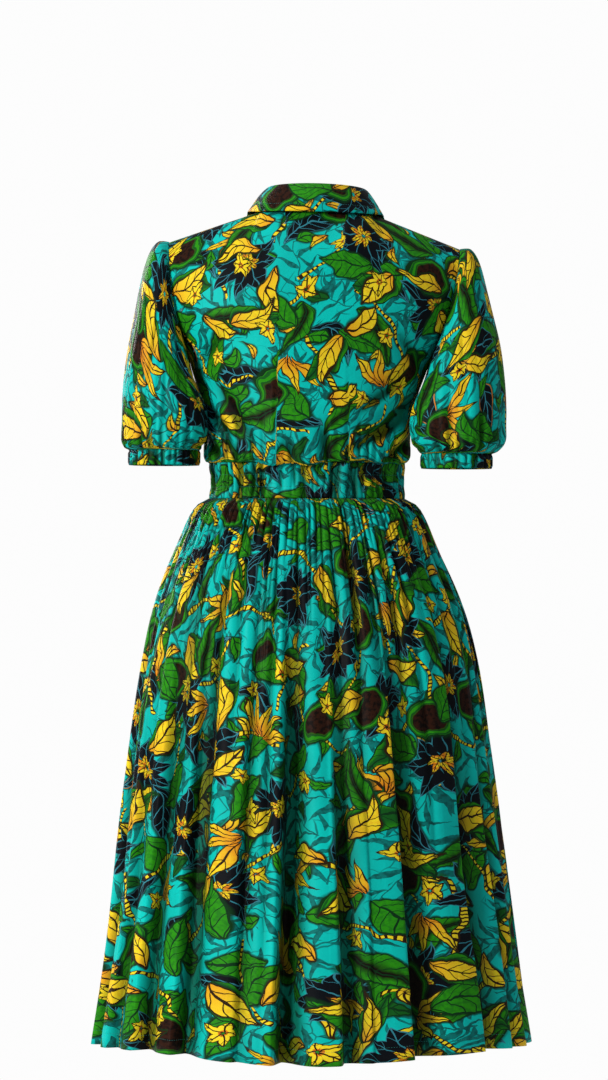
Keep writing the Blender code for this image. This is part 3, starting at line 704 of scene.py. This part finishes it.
panels["front"] = {
    "facing": -1.0, "crest": ((0.009, 0.018), (0.034, 0.007), (0.021, 0.005)),
    "puckers": scatterFolds(9, 38, -1.0, 1.0, (0.22, 0.36), (0.0016, 0.0042), 0.0, (0.06, 0.22)),
    "sections": (
        (0.00, -0.098, -0.3362, 0.1345, 0.000, -0.3362, 2.0, 0.50),
        (0.05, -0.110, -0.3220, 0.1410, 0.000, -0.3225, 2.1, 0.50),
        (0.14, -0.117, -0.2950, 0.1415, 0.000, -0.2930, 2.2, 0.50),
        (0.28, -0.123, -0.2480, 0.1485, 0.000, -0.2480, 2.5, 0.50),
        (0.40, -0.132, -0.2050, 0.1620, 0.000, -0.2050, 2.8, 0.50),
        (0.56, -0.125, -0.1560, 0.1800, -0.038, -0.1380, 2.6, 0.72),
        (0.76, -0.104, -0.1080, 0.1900, -0.038, -0.0840, 2.4, 0.90),
    ),
    "creases": (
        (0.134, -0.258, 0.096, -0.318, 0.0075, 0.0080),
        (0.116, -0.226, 0.066, -0.312, 0.0090, 0.0058),
        (-0.138, -0.254, -0.098, -0.306, 0.0075, 0.0083),
        (-0.124, -0.230, -0.068, -0.300, 0.0085, 0.0061),
        (0.150, -0.205, 0.096, -0.176, 0.0100, 0.0058),
        (-0.150, -0.205, -0.098, -0.172, 0.0100, 0.0058),
        (0.044, -0.292, 0.030, -0.330, 0.0070, 0.0045),
        (-0.040, -0.296, -0.052, -0.330, 0.0070, 0.0045),
    ),
    "darts": (
        (0.058, -0.338, 0.052, -0.200, 0.0016, 0.028),
        (-0.058, -0.338, -0.052, -0.200, 0.0016, 0.028),
    ),
}


@remember
def neckPoint(angle):
    forward = max(0.0, -cos(angle))
    backward = max(0.0, cos(angle))
    height = neck["sideZ"] + (neck["backZ"] - neck["sideZ"]) * backward
    height += (neck["frontZ"] - neck["sideZ"]) * forward ** 1.5
    return Vector((neck["halfWidth"] * sin(angle),
                   neck["centreY"] + neck["halfDepth"] * cos(angle), height))


@remember
def panelTop(across, side):
    reach = abs(across)
    if reach < neck["share"]:
        angle = pi / 2 * reach / neck["share"]
        point = neckPoint(pi - angle if side == "front" else angle)
    else:
        point = neckPoint(pi / 2).lerp(bodice["tip"], (reach - neck["share"]) / (1.0 - neck["share"]))
    return Vector((copysign(point.x, across), point.y, point.z))


@remember
def panelCrest(across, side):
    reach = abs(across)
    toShoulder = smoothStep(0.0, neck["share"], reach)
    toTip = smoothStep(0.55, 1.0, reach)
    away, below = (centre * (1.0 - toShoulder) + shoulder * toShoulder * (1.0 - toTip) + tip * toTip
                   for centre, shoulder, tip in zip(*panels[side]["crest"]))
    spread = 0.006 * (1.0 - toTip) * sin(pi / 2 * reach)
    return panelTop(across, side) + Vector((copysign(spread, across), panels[side]["facing"] * away, -below))


def sectionPoint(section, across):
    share, centreY, centreZ, sideX, sideY, sideZ, squareness, roundness = section
    reach = sin(pi / 2 * abs(across))
    hollow = (1.0 - reach ** squareness) ** roundness if reach < 1.0 else 0.0
    return Vector((copysign(sideX * reach, across), sideY + (centreY - sideY) * hollow,
                   centreZ + (sideZ - centreZ) * reach * reach))


@remember
def panelCurve(across, side):
    sections = panels[side]["sections"]
    points = [sectionPoint(section, across) for section in sections]
    points += [panelCrest(across, side), panelTop(across, side)]
    return [section[0] for section in sections] + [bodice["crestShare"], 1.0], list(zip(*points))


def panelBase(across, share, side):
    knots, axes = panelCurve(across, side)
    return Vector([curveThrough(knots, values, share) for values in axes])


def creaseDepth(creases, x, z):
    total = 0.0
    for x1, z1, x2, z2, halfWidth, depth in creases:
        run = Vector((x2 - x1, z2 - z1))
        offset = Vector((x - x1, z - z1))
        share = min(max(offset.dot(run) / run.length_squared, 0.0), 1.0)
        distance = (offset - run * share).length
        if distance < 3.0 * halfWidth:
            total += depth * sin(pi * (0.12 + 0.76 * share)) * fadeFrom(0.0, distance, halfWidth)
    return total


def dartLift(darts, x, z):
    # one lip lies over the other: a sharp rise on one side of the line that dies away on the other
    total = 0.0
    for x1, z1, x2, z2, lift, intake in darts:
        along = (z - z1) / (z2 - z1)
        if 0.0 <= along <= 1.0:
            apart = x - (x1 + (x2 - x1) * along)
            rise = smoothStep(-0.0008, 0.0006, apart) * exp(-max(apart, 0.0) / 0.006)
            total += lift * rise * sqrt(1.0 - along)
    return total


def panelPoint(across, share, side):
    panel = panels[side]
    point = panelBase(across, share, side)
    off = smoothStep(1.0, 0.93, abs(across))
    seam = within(share, 0.0, 0.03, 0.93, 1.0) * off
    puckers = foldDepth(panel["puckers"], across, share, closed=False) * off * smoothStep(-0.01, 0.03, share)
    depth = creaseDepth(panel["creases"], point.x, point.z) * seam + puckers
    lip = dartLift(panel["darts"], point.x, point.z) * off
    lean = smoothStep(0.3, 1.0, abs(across))
    direction = Vector((copysign(0.7 * lean, across), panel["facing"] * (1.0 - 0.7 * lean), 0.0)).normalized()
    # the cloth swells a little between its creases
    billow = bodice["billow"] * sin(9.0 * point.x * pi + 31.0 * point.z)
    billow *= sin(23.0 * point.z + 4.0 * point.x)
    # bloused over the waistband: just above the seam the cloth hangs below it, further in some places
    hang = bodice["hang"] * within(share, 0.0, 0.022, 0.03, 0.15) * (1.0 - 0.7 * lean ** 2)
    hang *= 0.56 + 0.26 * sin(7.0 * across + 0.8) + 0.18 * sin(25.0 * across + 2.0)
    drop = direction * hang * (0.45 - 0.33 * lean) - up(hang)
    return point + drop + direction * (lip + billow * seam - depth), min(1.0, depth / 0.0065)


def backPoint(across, share):
    point, shade = panelPoint(across, share, "back")
    return posed(point + Vector((0.0, cloth["seam"], 0.0))), shade


def overlapShift(across, share):
    step = 0.01
    low, high = max(share - step, 0.0), min(share + step, 1.0)
    sideways = panelBase(across + step, share, "front") - panelBase(across - step, share, "front")
    upward = panelBase(across, high, "front") - panelBase(across, low, "front")
    outward = sideways.cross(upward).normalized()
    level = Vector((outward.x, outward.y, 0.0))
    level /= level.length_squared
    return level.lerp(outward, smoothStep(0.0, 0.12, share)) * bodice["overlapLift"]


def frontPoint(across, share, side):
    point, shade = panelPoint(across, share, "front")
    # the button band lies flat
    lift = 1.0 - smoothStep(0.08, 0.20, abs(across))
    point = point.lerp(panelBase(across, share, "front"), lift)
    if side < 0 and lift > 0.0:
        point += overlapShift(across, share) * lift
    return posed(point - Vector((0.0, cloth["seam"], 0.0))), shade * (1.0 - lift)


def makeBodice():
    rows = evenSteps(0.0, 0.16, 30, 0.90, 78, 1.0, 18)
    back = makeCloth("bodiceBack", "bodice_back", evenSteps(1.0, -1.0, 216), rows, backPoint,
                     (0.31, 0.12), slack=0.8, darts=panels["back"]["darts"])
    # the left front runs from its overlap to the side, and the right one mirrors it
    columns = [-value for value in evenSteps(0.0, bodice["overlap"], 6)[:0:-1]] + evenSteps(0.0, 1.0, 108)
    for word, side, printPlace in (("Left", 1, (1.13, 0.62)), ("Right", -1, (0.86, 1.41))):
        front = makeCloth("bodiceFront" + word, "bodice_front_" + word.lower(), columns, rows,
                          partial(frontPoint, side=side), printPlace, slack=0.8,
                          darts=panels["front"]["darts"])
        columns = [-value for value in columns[::-1]]


# waistband and skirt

waistband = {
    "halfWidth": 0.1350, "halfDepth": 0.0990, "draw": 0.0022, "swell": 0.0014, "flat": 1.36,
    "sewnRows": (0.34, 0.68), "rowPull": 0.0008,
    "shirring": (
        scatterFolds(13, 62, 0.0, 1.0, (0.14, 0.40), (0.0016, 0.0060), 0.0, (0.7, 2.6), 0.006),
        scatterFolds(17, 66, 0.0, 1.0, (0.14, 0.36), (0.0012, 0.0052), 0.0, (0.5, 1.9), 0.006),
    ),
}


def waistbandPoint(turn, share):
    # share runs down the band
    depth = foldDepth(waistband["shirring"][0], turn % 1.0, share, sharp=1.3)
    depth += foldDepth(waistband["shirring"][1], turn % 1.0, 1.0 - share, sharp=1.3)
    edge = within(share, 0.0, 0.14, 0.86, 1.0)
    rowPull = waistband["rowPull"] * sum(fadeFrom(place, share, 0.07) for place in waistband["sewnRows"])
    swell = waistband["swell"] * edge - waistband["draw"] * (1.0 - (2.0 * share - 1.0) ** 2)
    inward = depth * (0.55 + 0.45 * edge) + rowPull * (0.4 + 0.6 * smoothStep(0.0, 0.002, depth))
    angle = 2.0 * pi * turn
    return posed(Vector((
        (waistband["halfWidth"] + swell - inward) * sin(angle),
        (waistband["halfDepth"] + swell - inward) * cos(angle),
        body["waistTop"] + (body["waistBottom"] - body["waistTop"]) * share))), depth / 0.0060


skirt = {
    "flat": (1.02, 0.76), "columns": 780, "lean": 0.0035, "hemLift": 0.0085, "steepSide": 0.24,
    "slopingSide": 1.55, "fluteSwell": 0.0038, "gatherSwell": 0.0020, "ripple": 0.0012,
    # the two panels: node, first turn, shift off the side seams, place on the print
    "panels": {
        "Back": ("skirt_back", -0.25, cloth["seam"], (2.37, 0.71)),
        "Front": ("skirt_front", 0.25, -cloth["seam"], (4.11, 1.93)),
    },
    # fine gathers at the waist seam, then flutes that they run into; tops and lengths in metres down from it
    "gathers": scatterFolds(21, 134, 0.0, 1.0, (0.15, 0.34), (0.0028, 0.0090), -0.01, (0.05, 0.30), 0.020),
    "flutes": scatterFolds(33, 50, 0.0, 1.0, (0.20, 0.38), (0.0035, 0.0105), 0.0, (0.30, 1.00), 0.010),
    # z, half width, half depth, centre y, share of the large folds
    "sections": (
        (-1.1260, 0.2955, 0.2330, 0.010, 1.00),
        (-0.9300, 0.2680, 0.2170, 0.010, 0.92),
        (-0.7800, 0.2500, 0.2045, 0.010, 0.78),
        (-0.6560, 0.2340, 0.1925, 0.010, 0.60),
        (-0.5670, 0.2160, 0.1775, 0.010, 0.42),
        (-0.4970, 0.1940, 0.1590, 0.008, 0.25),
        (-0.4430, 0.1735, 0.1400, 0.006, 0.12),
        (-0.4100, 0.1600, 0.1250, 0.003, 0.05),
        (-0.3930, 0.1490, 0.1130, 0.001, 0.02),
        (-0.3848, 0.1350, 0.0990, 0.000, 0.00),
    ),
    # large folds: degrees from the centre back towards +X, half width, depth, height where each starts
    "folds": (
        (8.5, 3.9, 0.0360, -0.46), (19.5, 3.2, 0.0095, -0.42), (37.0, 4.2, 0.0243, -0.47),
        (51.5, 4.2, 0.0243, -0.50), (65.0, 3.8, 0.0154, -0.60), (80.0, 4.0, 0.0192, -0.47),
        (98.0, 4.2, 0.0205, -0.50), (113.0, 3.8, 0.0166, -0.56), (129.0, 4.4, 0.0256, -0.45),
        (145.0, 3.6, 0.0154, -0.58), (160.0, 4.2, 0.0243, -0.47), (174.0, 3.6, 0.0166, -0.55),
        (189.0, 4.4, 0.0282, -0.45), (205.0, 3.6, 0.0166, -0.57), (220.0, 4.2, 0.0230, -0.48),
        (236.0, 3.8, 0.0192, -0.54), (250.0, 4.2, 0.0243, -0.46), (263.0, 3.8, 0.0166, -0.60),
        (281.0, 4.0, 0.0192, -0.49), (294.0, 3.8, 0.0166, -0.62), (308.0, 4.4, 0.0280, -0.52),
        (331.5, 4.2, 0.0290, -0.45), (343.0, 3.2, 0.0050, -0.62), (351.0, 3.8, 0.0240, -0.58),
    ),
}


def skirtPoint(turn, height, shift=0.0):
    halfWidth, halfDepth, centreY, foldShare = tableValues(skirt["sections"], height)
    down = skirt["sections"][-1][0] - height
    gatherShare = smoothStep(-0.002, 0.012, down)
    fluteShare = smoothStep(0.03, 0.14, down)
    degrees = 360.0 * turn
    large = 0.0
    for centre, half, depth, top in skirt["folds"]:
        wander = 1.1 * sin(5.0 * height + centre) * smoothStep(body["hem"], -0.7, height)
        apart = (degrees - centre - wander + 180.0) % 360.0 - 180.0
        if abs(apart) <= 3.4 * half:
            # the side towards +X falls steeply and the other one slopes out
            width = half * skirt["steepSide" if apart > 0.0 else "slopingSide"]
            grown = foldShare * (0.35 + 0.65 * smoothStep(top, top - 0.30, height))
            large += depth * grown * fadeFrom(0.0, apart, width)
    small = foldDepth(skirt["gathers"], turn % 1.0, down, sharp=1.15) * gatherShare
    flute = foldDepth(skirt["flutes"], turn % 1.0, down, sharp=1.5) * fluteShare
    swell = skirt["fluteSwell"] * fluteShare + skirt["gatherSwell"] * gatherShare
    ripple = skirt["ripple"] * sin(17.0 * height + 40.0 * turn) * fluteShare
    inward = large + small + flute - swell - ripple
    angle = 2.0 * pi * turn
    # the hem rides up a little between the middle and the sides, and the skirt leans to the wearer's right
    lift = skirt["hemLift"] * sin(2.0 * angle) ** 2 * smoothStep(-0.80, body["hem"], height)
    point = Vector((
        (halfWidth - inward) * sin(angle) - skirt["lean"] * smoothStep(0.02, 0.25, down),
        centreY + (halfDepth - inward) * cos(angle) + shift, height + lift))
    return posed(point), large / 0.022 + flute / 0.015 + small / 0.0085


def makeSkirt():
    heights = evenSteps(skirt["sections"][-1][0], -0.52, 18, body["hem"], 42)
    for word, (node, first, shift, printPlace) in skirt["panels"].items():
        piece = makeCloth("skirt" + word, node, evenSteps(first, first + 0.5, skirt["columns"]), heights,
                          partial(skirtPoint, shift=shift), printPlace, skirt["flat"][0])


def makeWaistband():
    piece = makeCloth("waistbandShirred", "waistband", evenSteps(0.25, 1.25, 900), evenSteps(0.0, 1.0, 18),
                      waistbandPoint, (3.3, 4.2), waistband["flat"], "printed_band", tube=True)


# collar

collar = {
    "standBack": 0.030, "standFront": 0.025, "standWall": 0.0014, "fallWall": 0.0015, "lean": 0.12,
    "end": 176.0, "sewnShare": 0.89,
    # degrees round the neck, x, y and z of the fall's lower edge
    "edge": (
        (0, 0.000, 0.081, 0.0020), (30, 0.045, 0.073, 0.0025), (60, 0.078, 0.045, 0.0035),
        (90, 0.093, -0.002, 0.0065), (120, 0.096, -0.053, -0.0040), (150, 0.084, -0.088, -0.0470),
        (176, 0.062, -0.106, -0.0880),
    ),
}


@remember
def standPoint(degrees, rise):
    foot = neckPoint(radians(degrees))
    forward = smoothStep(0, 180, abs(degrees))
    height = collar["standBack"] + (collar["standFront"] - collar["standBack"]) * forward
    overOverlap = bodice["overlapLift"] * smoothStep(110, 150, abs(degrees))
    shrink = 1.0 - collar["lean"] * rise
    return Vector((foot.x * shrink, neck["centreY"] + (foot.y - neck["centreY"]) * shrink,
                   foot.z + cloth["seam"] + overOverlap + rise * height))


def fallPoint(degrees, share):
    edge = Vector(tableValues(collar["edge"], abs(degrees)))
    edge.x = copysign(edge.x, degrees)
    # the fall clears the front that laps over
    edge.y -= 0.0014 * smoothStep(70.0, 115.0, -degrees)
    turned = radians(degrees)
    outward = Vector((sin(turned), cos(turned), 0.0))
    start = standPoint(degrees, 1.0) + up(0.0004) - outward * 0.0012
    roundness = 0.0075 - 0.0065 * abs(sin(turned))
    down = start.lerp(edge, 0.35) + up(0.0105) + outward * roundness
    point = bezier(share, start, start + up(0.0102), down, edge)
    # interfaced cloth: broad soft dips, and a shallow groove along the topstitching
    dip = 0.0008 * sin(radians(5.0 * degrees) + 0.6) * smoothStep(0.3, 0.8, share)
    groove = fadeFrom(collar["sewnShare"], share, 0.022)
    # the groove is also darkened a little with painted shade
    return posed(point + outward * (dip - 0.0005 * groove)), 0.25 * groove


def makeCollar():
    angles = evenSteps(-collar["end"], collar["end"], 176)
    stand = makeCloth("collarStand", "collar_stand", angles, evenSteps(0.0, 1.0, 8),
                      lambda degrees, rise: (posed(standPoint(degrees, rise)), 0.0),
                      (0.9, 3.1), slot="printed_band", turned=True, wall=collar["standWall"], slack=0.0)
    fall = makeCloth("collarFall", "collar_fall", angles, evenSteps(0.0, 1.0, 34), fallPoint, (5.2, 0.47),
                     wall=collar["fallWall"], slack=0.0)


# sleeves and cuffs, made on +X and mirrored by the side: 1 is the left one and -1 the right one

def bothSides(seed, *settings):
    return {side: scatterFolds(seed + side, *settings) for side in (1, -1)}


sleeve = {
    "cuffTop": -0.3200, "cuffBottom": -0.3400, "cuffX": {1: 0.1940, -1: 0.2040}, "cuffY": 0.028,
    "cuffDrop": {1: 0.0, -1: 0.0032}, "cuffHalfWidth": 0.0480, "cuffHalfDepth": 0.055, "flatCuff": 0.46,
    "puff": 0.0075, "puffLift": 0.28, "fullness": 0.0014, "overCuff": 0.0040, "cuffSwell": 0.0016,
    "outerSwell": {1: -0.0025, -1: 0.0065}, "innerSwell": {1: -0.0055, -1: -0.0010},
    "bag": {1: 0.0095, -1: 0.0075},
    # gathers over the cuff run up the sleeve as shares of its height, and those of the cap run down
    "cuffGathers": bothSides(41, 30, 0.0, 1.0, (0.16, 0.38), (0.0014, 0.0044), 0.0, (1.2, 2.6), 0.006),
    "hemGathers": bothSides(51, 30, 0.0, 1.0, (0.18, 0.36), (0.0018, 0.0056), 0.0, (0.10, 0.40), 0.03),
    "capGathers": bothSides(61, 34, 0.0, 1.0, (0.22, 0.38), (0.0008, 0.0028), 0.0, (0.10, 0.34), 0.03),
    # turn round the sleeve, first push out and up from the armhole, swell out and up over the cuff
    "lines": (
        (0.000, 0.039, 0.012, 0.034, 0.024),
        (0.250, 0.022, -0.025, 0.031, 0.026),
        (0.375, 0.018, -0.028, 0.050, 0.024),
        (0.500, 0.008, -0.030, 0.020, 0.024),
        (0.625, 0.004, -0.030, 0.014, 0.026),
        (0.750, 0.020, -0.025, 0.022, 0.026),
        (1.000, 0.039, 0.012, 0.034, 0.024),
    ),
    # long soft drags down the sleeve: turn, half width, depth, share where it starts and ends
    "drags": (
        (0.04, 0.030, 0.0016, 0.45, 0.95), (0.13, 0.018, 0.0026, 0.45, 0.97),
        (0.20, 0.020, 0.0030, 0.20, 0.75), (0.27, 0.018, 0.0034, 0.42, 0.98),
        (0.34, 0.020, 0.0030, 0.10, 0.70), (0.41, 0.018, 0.0036, 0.35, 0.95),
        (0.55, 0.020, 0.0034, 0.20, 0.95), (0.66, 0.020, 0.0034, 0.12, 0.80),
        (0.76, 0.022, 0.0032, 0.38, 0.97), (0.85, 0.018, 0.0026, 0.10, 0.60),
        (0.94, 0.024, 0.0018, 0.42, 0.95),
    ),
}


def roundSleeve(turn):
    angle = 2.0 * pi * turn
    return Vector((cos(angle), sin(angle), 0.0))


@remember
def armholePoint(turn):
    turn %= 1.0
    if turn <= 0.5:
        return panelBase(1.0, 1.0 - (1.0 - bodice["underarm"]) * turn / 0.5, "back")
    return panelBase(1.0, bodice["underarm"] + (1.0 - bodice["underarm"]) * (turn - 0.5) / 0.5, "front")


def toSide(point, side):
    return posed(Vector((point.x * side, point.y, point.z)))


def cuffShape(turn, share, side):
    outward = roundSleeve(turn)
    depth = foldDepth(sleeve["cuffGathers"][side], turn % 1.0, share)
    edge = within(share, 0.0, 0.2, 0.8, 1.0)
    grow = sleeve["cuffSwell"] * edge - depth * (0.6 + 0.4 * edge)
    height = sleeve["cuffTop"] + (sleeve["cuffBottom"] - sleeve["cuffTop"]) * share - sleeve["cuffDrop"][side]
    return Vector((
        sleeve["cuffX"][side] + (sleeve["cuffHalfWidth"] + grow) * outward.x,
        sleeve["cuffY"] + (sleeve["cuffHalfDepth"] + grow) * outward.y, height)), depth / 0.0036


def cuffPoint(turn, share, side):
    point, shade = cuffShape(turn, share, side)
    return toSide(point, side), shade


@remember
def sleeveEnds(turn, side):
    outward = roundSleeve(turn)
    start = armholePoint(turn) + Vector((0.0004, 0.0, 0.0)) + outward * 0.0002
    end = cuffShape(turn, 0.0, side)[0] + up(cloth["seam"])
    outArm, upArm, outCuff, upCuff = tableValues(sleeve["lines"], turn % 1.0)
    return outward, start, start + outward * outArm + up(upArm), end + outward * outCuff + up(upCuff), end


def sleevePoint(turn, share, side):
    outward, *line = sleeveEnds(turn, side)
    around = turn % 1.0
    facing = outward.x
    drag = 0.0
    for centre, half, depth, top, bottom in sleeve["drags"]:
        apart = (around - centre - 0.02 * side * sin(5.0 * share + 9.0 * centre) + 0.5) % 1.0 - 0.5
        if abs(apart) < 3.0 * half:
            drag += depth * within(share, top, top + 0.25, bottom - 0.25, bottom) * fadeFrom(0.0, apart, half)
    low = foldDepth(sleeve["hemGathers"][side], around, 1.0 - share, sharp=1.4) * smoothStep(1.0, 0.97, share)
    cap = foldDepth(sleeve["capGathers"][side], around, share) * smoothStep(0.0, 0.02, share)
    cap *= 0.25 + 0.75 * max(0.0, facing)
    puff = sleeve["puff"] * within(share, 0.0, 0.07, 0.10, 0.46) * max(0.0, facing)
    # fuller down its length, and most of all over the cuff on its outer side; each arm sets its own sides
    swell = sleeve["fullness"] * within(share, 0.3, 0.7, 0.9, 1.0)
    outer = 0.35 + 0.65 * smoothStep(-0.9, 0.2, facing)
    swell += sleeve["overCuff"] * within(share, 0.78, 0.92, 0.965, 1.0) * outer
    swell += sleeve["outerSwell"][side] * within(share, 0.25, 0.55, 0.85, 1.0) * max(0.0, facing)
    swell += sleeve["innerSwell"][side] * within(share, 0.1, 0.4, 0.88, 1.0) * smoothStep(0.1, -0.7, facing)
    # the cloth bags out behind the arm, over the side of the bodice
    swell += sleeve["bag"][side] * within(share, 0.35, 0.6, 0.85, 0.98) * fadeFrom(0.43, around, 0.045)
    place = bezier(share, *line) + outward * (swell + puff - drag - low - cap) + up(sleeve["puffLift"] * puff)
    return toSide(place, side), drag / 0.009 + low / 0.0052 + cap / 0.004


def makeSleeves():
    # the seam lies along the inner arm
    turns = evenSteps(0.5, 1.5, 240)
    rows = evenSteps(0.0, 0.16, 14, 0.66, 26, 1.0, 30)
    for side, word in ((1, "Left"), (-1, "Right")):
        node = word.lower()
        piece = makeCloth("sleeve" + word, "sleeve_" + node, turns, rows, partial(sleevePoint, side=side),
                          (1.9 + 0.6 * side, 2.6), turned=side > 0, tube=True, slack=1.2)
        cuff = makeCloth("cuff" + word, "cuff_" + node, turns, evenSteps(0.0, 1.0, 10),
                         partial(cuffPoint, side=side), (2.2 + 0.7 * side, 5.1), sleeve["flatCuff"],
                         "printed_band", turned=side > 0, tube=True)


makeBodice()
makeWaistband()
makeSkirt()
makeCollar()
makeSleeves()
print("cloth pieces made")


# sewing: every stitch is a small bead of thread laid on its cloth

sewing = {
    "pitch": 0.0034, "length": 0.0025, "thick": 0.00045, "hemRise": 0.019, "bandEdge": 0.80,
    "bandSeam": -0.085,
}


def makeStitches(name, node, slot, paths, pitch=sewing["pitch"], length=sewing["length"]):
    # each path is a list of points on the cloth with the way it faces there
    row = bmesh.new()
    for path in paths:
        reach = 0.0
        due = pitch / 2
        for (before, facing), (after, _) in zip(path, path[1:]):
            run = after - before
            step = run.length
            while step > 0.0 and reach + step >= due:
                along = run / step
                outward = (facing - along * facing.dot(along)).normalized()
                place = before + along * (due - reach) + outward * sewing["thick"] * 0.12
                shape = Matrix((along, outward.cross(along), outward)).transposed() @ Matrix.Diagonal(
                    (length / 2, sewing["thick"] / 2, sewing["thick"] / 2))
                bmesh.ops.create_icosphere(row, subdivisions=1, radius=1.0,
                                           matrix=Matrix.Translation(place) @ shape.to_4x4())
                due += pitch
            reach += step
    bmesh.ops.recalc_face_normals(row, faces=row.faces)
    finishPiece(name, node, slot, row, thread)


def clothPath(surface, columns, row):
    # points along a row of a surface, with the way it faces
    def place(column, row):
        return surface(column, row)[0]

    path = []
    for column in columns:
        ahead = place(column + 0.001, row) - place(column - 0.001, row)
        down = place(column, row + 0.001) - place(column, row - 0.001)
        path.append((place(column, row), ahead.cross(down).normalized()))
    return path


def bandPath(across):
    # up the front at one place across it
    path = []
    for share in evenSteps(0.012, 0.985, 260):
        place = frontPoint(across, share, -1)[0]
        sideways = frontPoint(across + 0.002, share, -1)[0] - place
        upward = frontPoint(across, share + 0.002, -1)[0] - place
        path.append((place, sideways.cross(upward).normalized()))
    return path


def sewSeams():
    for word, (node, first, shift, _) in skirt["panels"].items():
        hem = clothPath(partial(skirtPoint, shift=shift), evenSteps(first + 0.002, first + 0.498, 900),
                        body["hem"] + sewing["hemRise"])
        makeStitches("hemStitching" + word, node, "printed_cotton", [hem])
    rows = [clothPath(waistbandPoint, evenSteps(0.0, 1.0, 1400), share) for share in waistband["sewnRows"]]
    makeStitches("waistStitching", "waistband", "printed_band", rows)
    end = collar["end"] - 1.5
    edge = clothPath(fallPoint, evenSteps(-end, end, 420), collar["sewnShare"])
    makeStitches("collarStitching", "collar_fall", "printed_cotton", [edge])
    makeStitches("frontStitching", "bodice_front_right", "printed_cotton",
                 [bandPath(bodice["overlap"] * sewing["bandEdge"]), bandPath(sewing["bandSeam"])])


# buttons: turned resin with a raised rim and four holes, sewn through with two bars of thread

button = {
    "shares": evenSteps(0.83, 0.105, 4),
    # radius and height of each ring of the outside, from the back edge over the rim to the sunk face
    "profile": ((0.0049, -0.0012), (0.0056, -0.0008), (0.0058, 0.0001), (0.0055, 0.0009), (0.0049, 0.0012),
                (0.0042, 0.0010), (0.0037, 0.0004)),
    "holeOut": 0.0013, "holeRadius": 0.0006, "segments": 40, "holeSegments": 12, "seatLift": 0.0003,
    "strand": 0.00022, "slitAbove": 0.0074, "slitBelow": 0.0092, "slitWidth": 0.0013,
}


def loopEdges(verts):
    return [edge for edge in {edge for vert in verts for edge in vert.link_edges}
            if all(end in verts for end in edge.verts)]


def makeButton(number, share):
    node = "button_%d" % number
    low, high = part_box(node)
    sideways = frontPoint(bodice["overlap"], share, -1)[0] - frontPoint(-bodice["overlap"], share, -1)[0]
    upward = frontPoint(0.0, share + 0.02, -1)[0] - frontPoint(0.0, share - 0.02, -1)[0]
    outward = sideways.cross(upward).normalized()
    sideways = upward.cross(outward).normalized()
    turn = Matrix((sideways, outward.cross(sideways), outward)).transposed()
    seat = Matrix.Translation((low + high) / 2 + outward * button["seatLift"]) @ turn.to_4x4()

    disc = bmesh.new()

    def ring(radius, height, x=0.0, y=0.0, segments=button["segments"]):
        return set(bmesh.ops.create_circle(disc, cap_ends=False, segments=segments, radius=radius,
                                           matrix=Matrix.Translation((x, y, height)))["verts"])

    out = button["holeOut"]
    back, face = button["profile"][0][1], button["profile"][-1][1]
    rings = [ring(radius, height) for radius, height in button["profile"]]
    holes = [[ring(button["holeRadius"], height, x, y, button["holeSegments"]) for height in (back, face)]
             for x, y in ((out, out), (-out, out), (-out, -out), (out, -out))]
    for before, after in list(zip(rings, rings[1:])) + holes:
        bmesh.ops.bridge_loops(disc, edges=loopEdges(before) + loopEdges(after))
    for outer, side in ((rings[0], 0), (rings[-1], 1)):
        edges = [edge for verts in [outer] + [hole[side] for hole in holes] for edge in loopEdges(verts)]
        bmesh.ops.triangle_fill(disc, use_beauty=True, use_dissolve=False, edges=edges)
    # two bars of thread, each of two strands
    thin = button["strand"]
    for x in (-out - thin, -out + thin, out - thin, out + thin):
        shape = Matrix.Diagonal((thin, out * 1.25, 0.00030, 1.0))
        shape = Matrix.Translation((x, 0.0, face + 0.00018)) @ shape
        strand = bmesh.ops.create_icosphere(disc, subdivisions=2, radius=1.0, matrix=shape)["verts"]
        for strandFace in {linked for vert in strand for linked in vert.link_faces}:
            strandFace.material_index = 1
    bmesh.ops.transform(disc, verts=disc.verts, matrix=seat)
    bmesh.ops.recalc_face_normals(disc, faces=disc.faces)
    finishPiece("button%d" % number, node, "button", disc, resin, thread)
    return seat


def makeButtonholes(seats):
    # the stitching of a buttonhole up the band under each button: close overcast stitches on both sides of
    # its line
    paths = []
    for seat in seats:
        foot = seat @ up(-0.0017)
        sideways, upward, outward = seat.to_3x3().transposed()
        for level in evenSteps(-button["slitBelow"], button["slitAbove"], 44):
            for side in (-1.0, 1.0):
                near = foot + upward * level + sideways * side * 0.0002
                paths.append([(near, outward), (near + sideways * side * button["slitWidth"], outward)])
    makeStitches("buttonholes", "bodice_front_right", "printed_cotton", paths,
                 pitch=button["slitWidth"], length=button["slitWidth"] * 1.1)


sewSeams()
makeButtonholes([makeButton(number, share) for number, share in enumerate(button["shares"], start=1)])
print("sewing and buttons made")


# stage

def makeFloor():
    disc = bmesh.new()
    bmesh.ops.create_circle(disc, cap_ends=True, segments=96, radius=view["floorRadius"])
    bmesh.ops.translate(disc, verts=disc.verts, vec=(0.0, 0.0, view["floorZ"]))
    mesh = bpy.data.meshes.new("floor")
    disc.to_mesh(mesh)
    disc.free()
    mesh.materials.append(paint)
    floor = addObject("floor", mesh)


makeFloor()
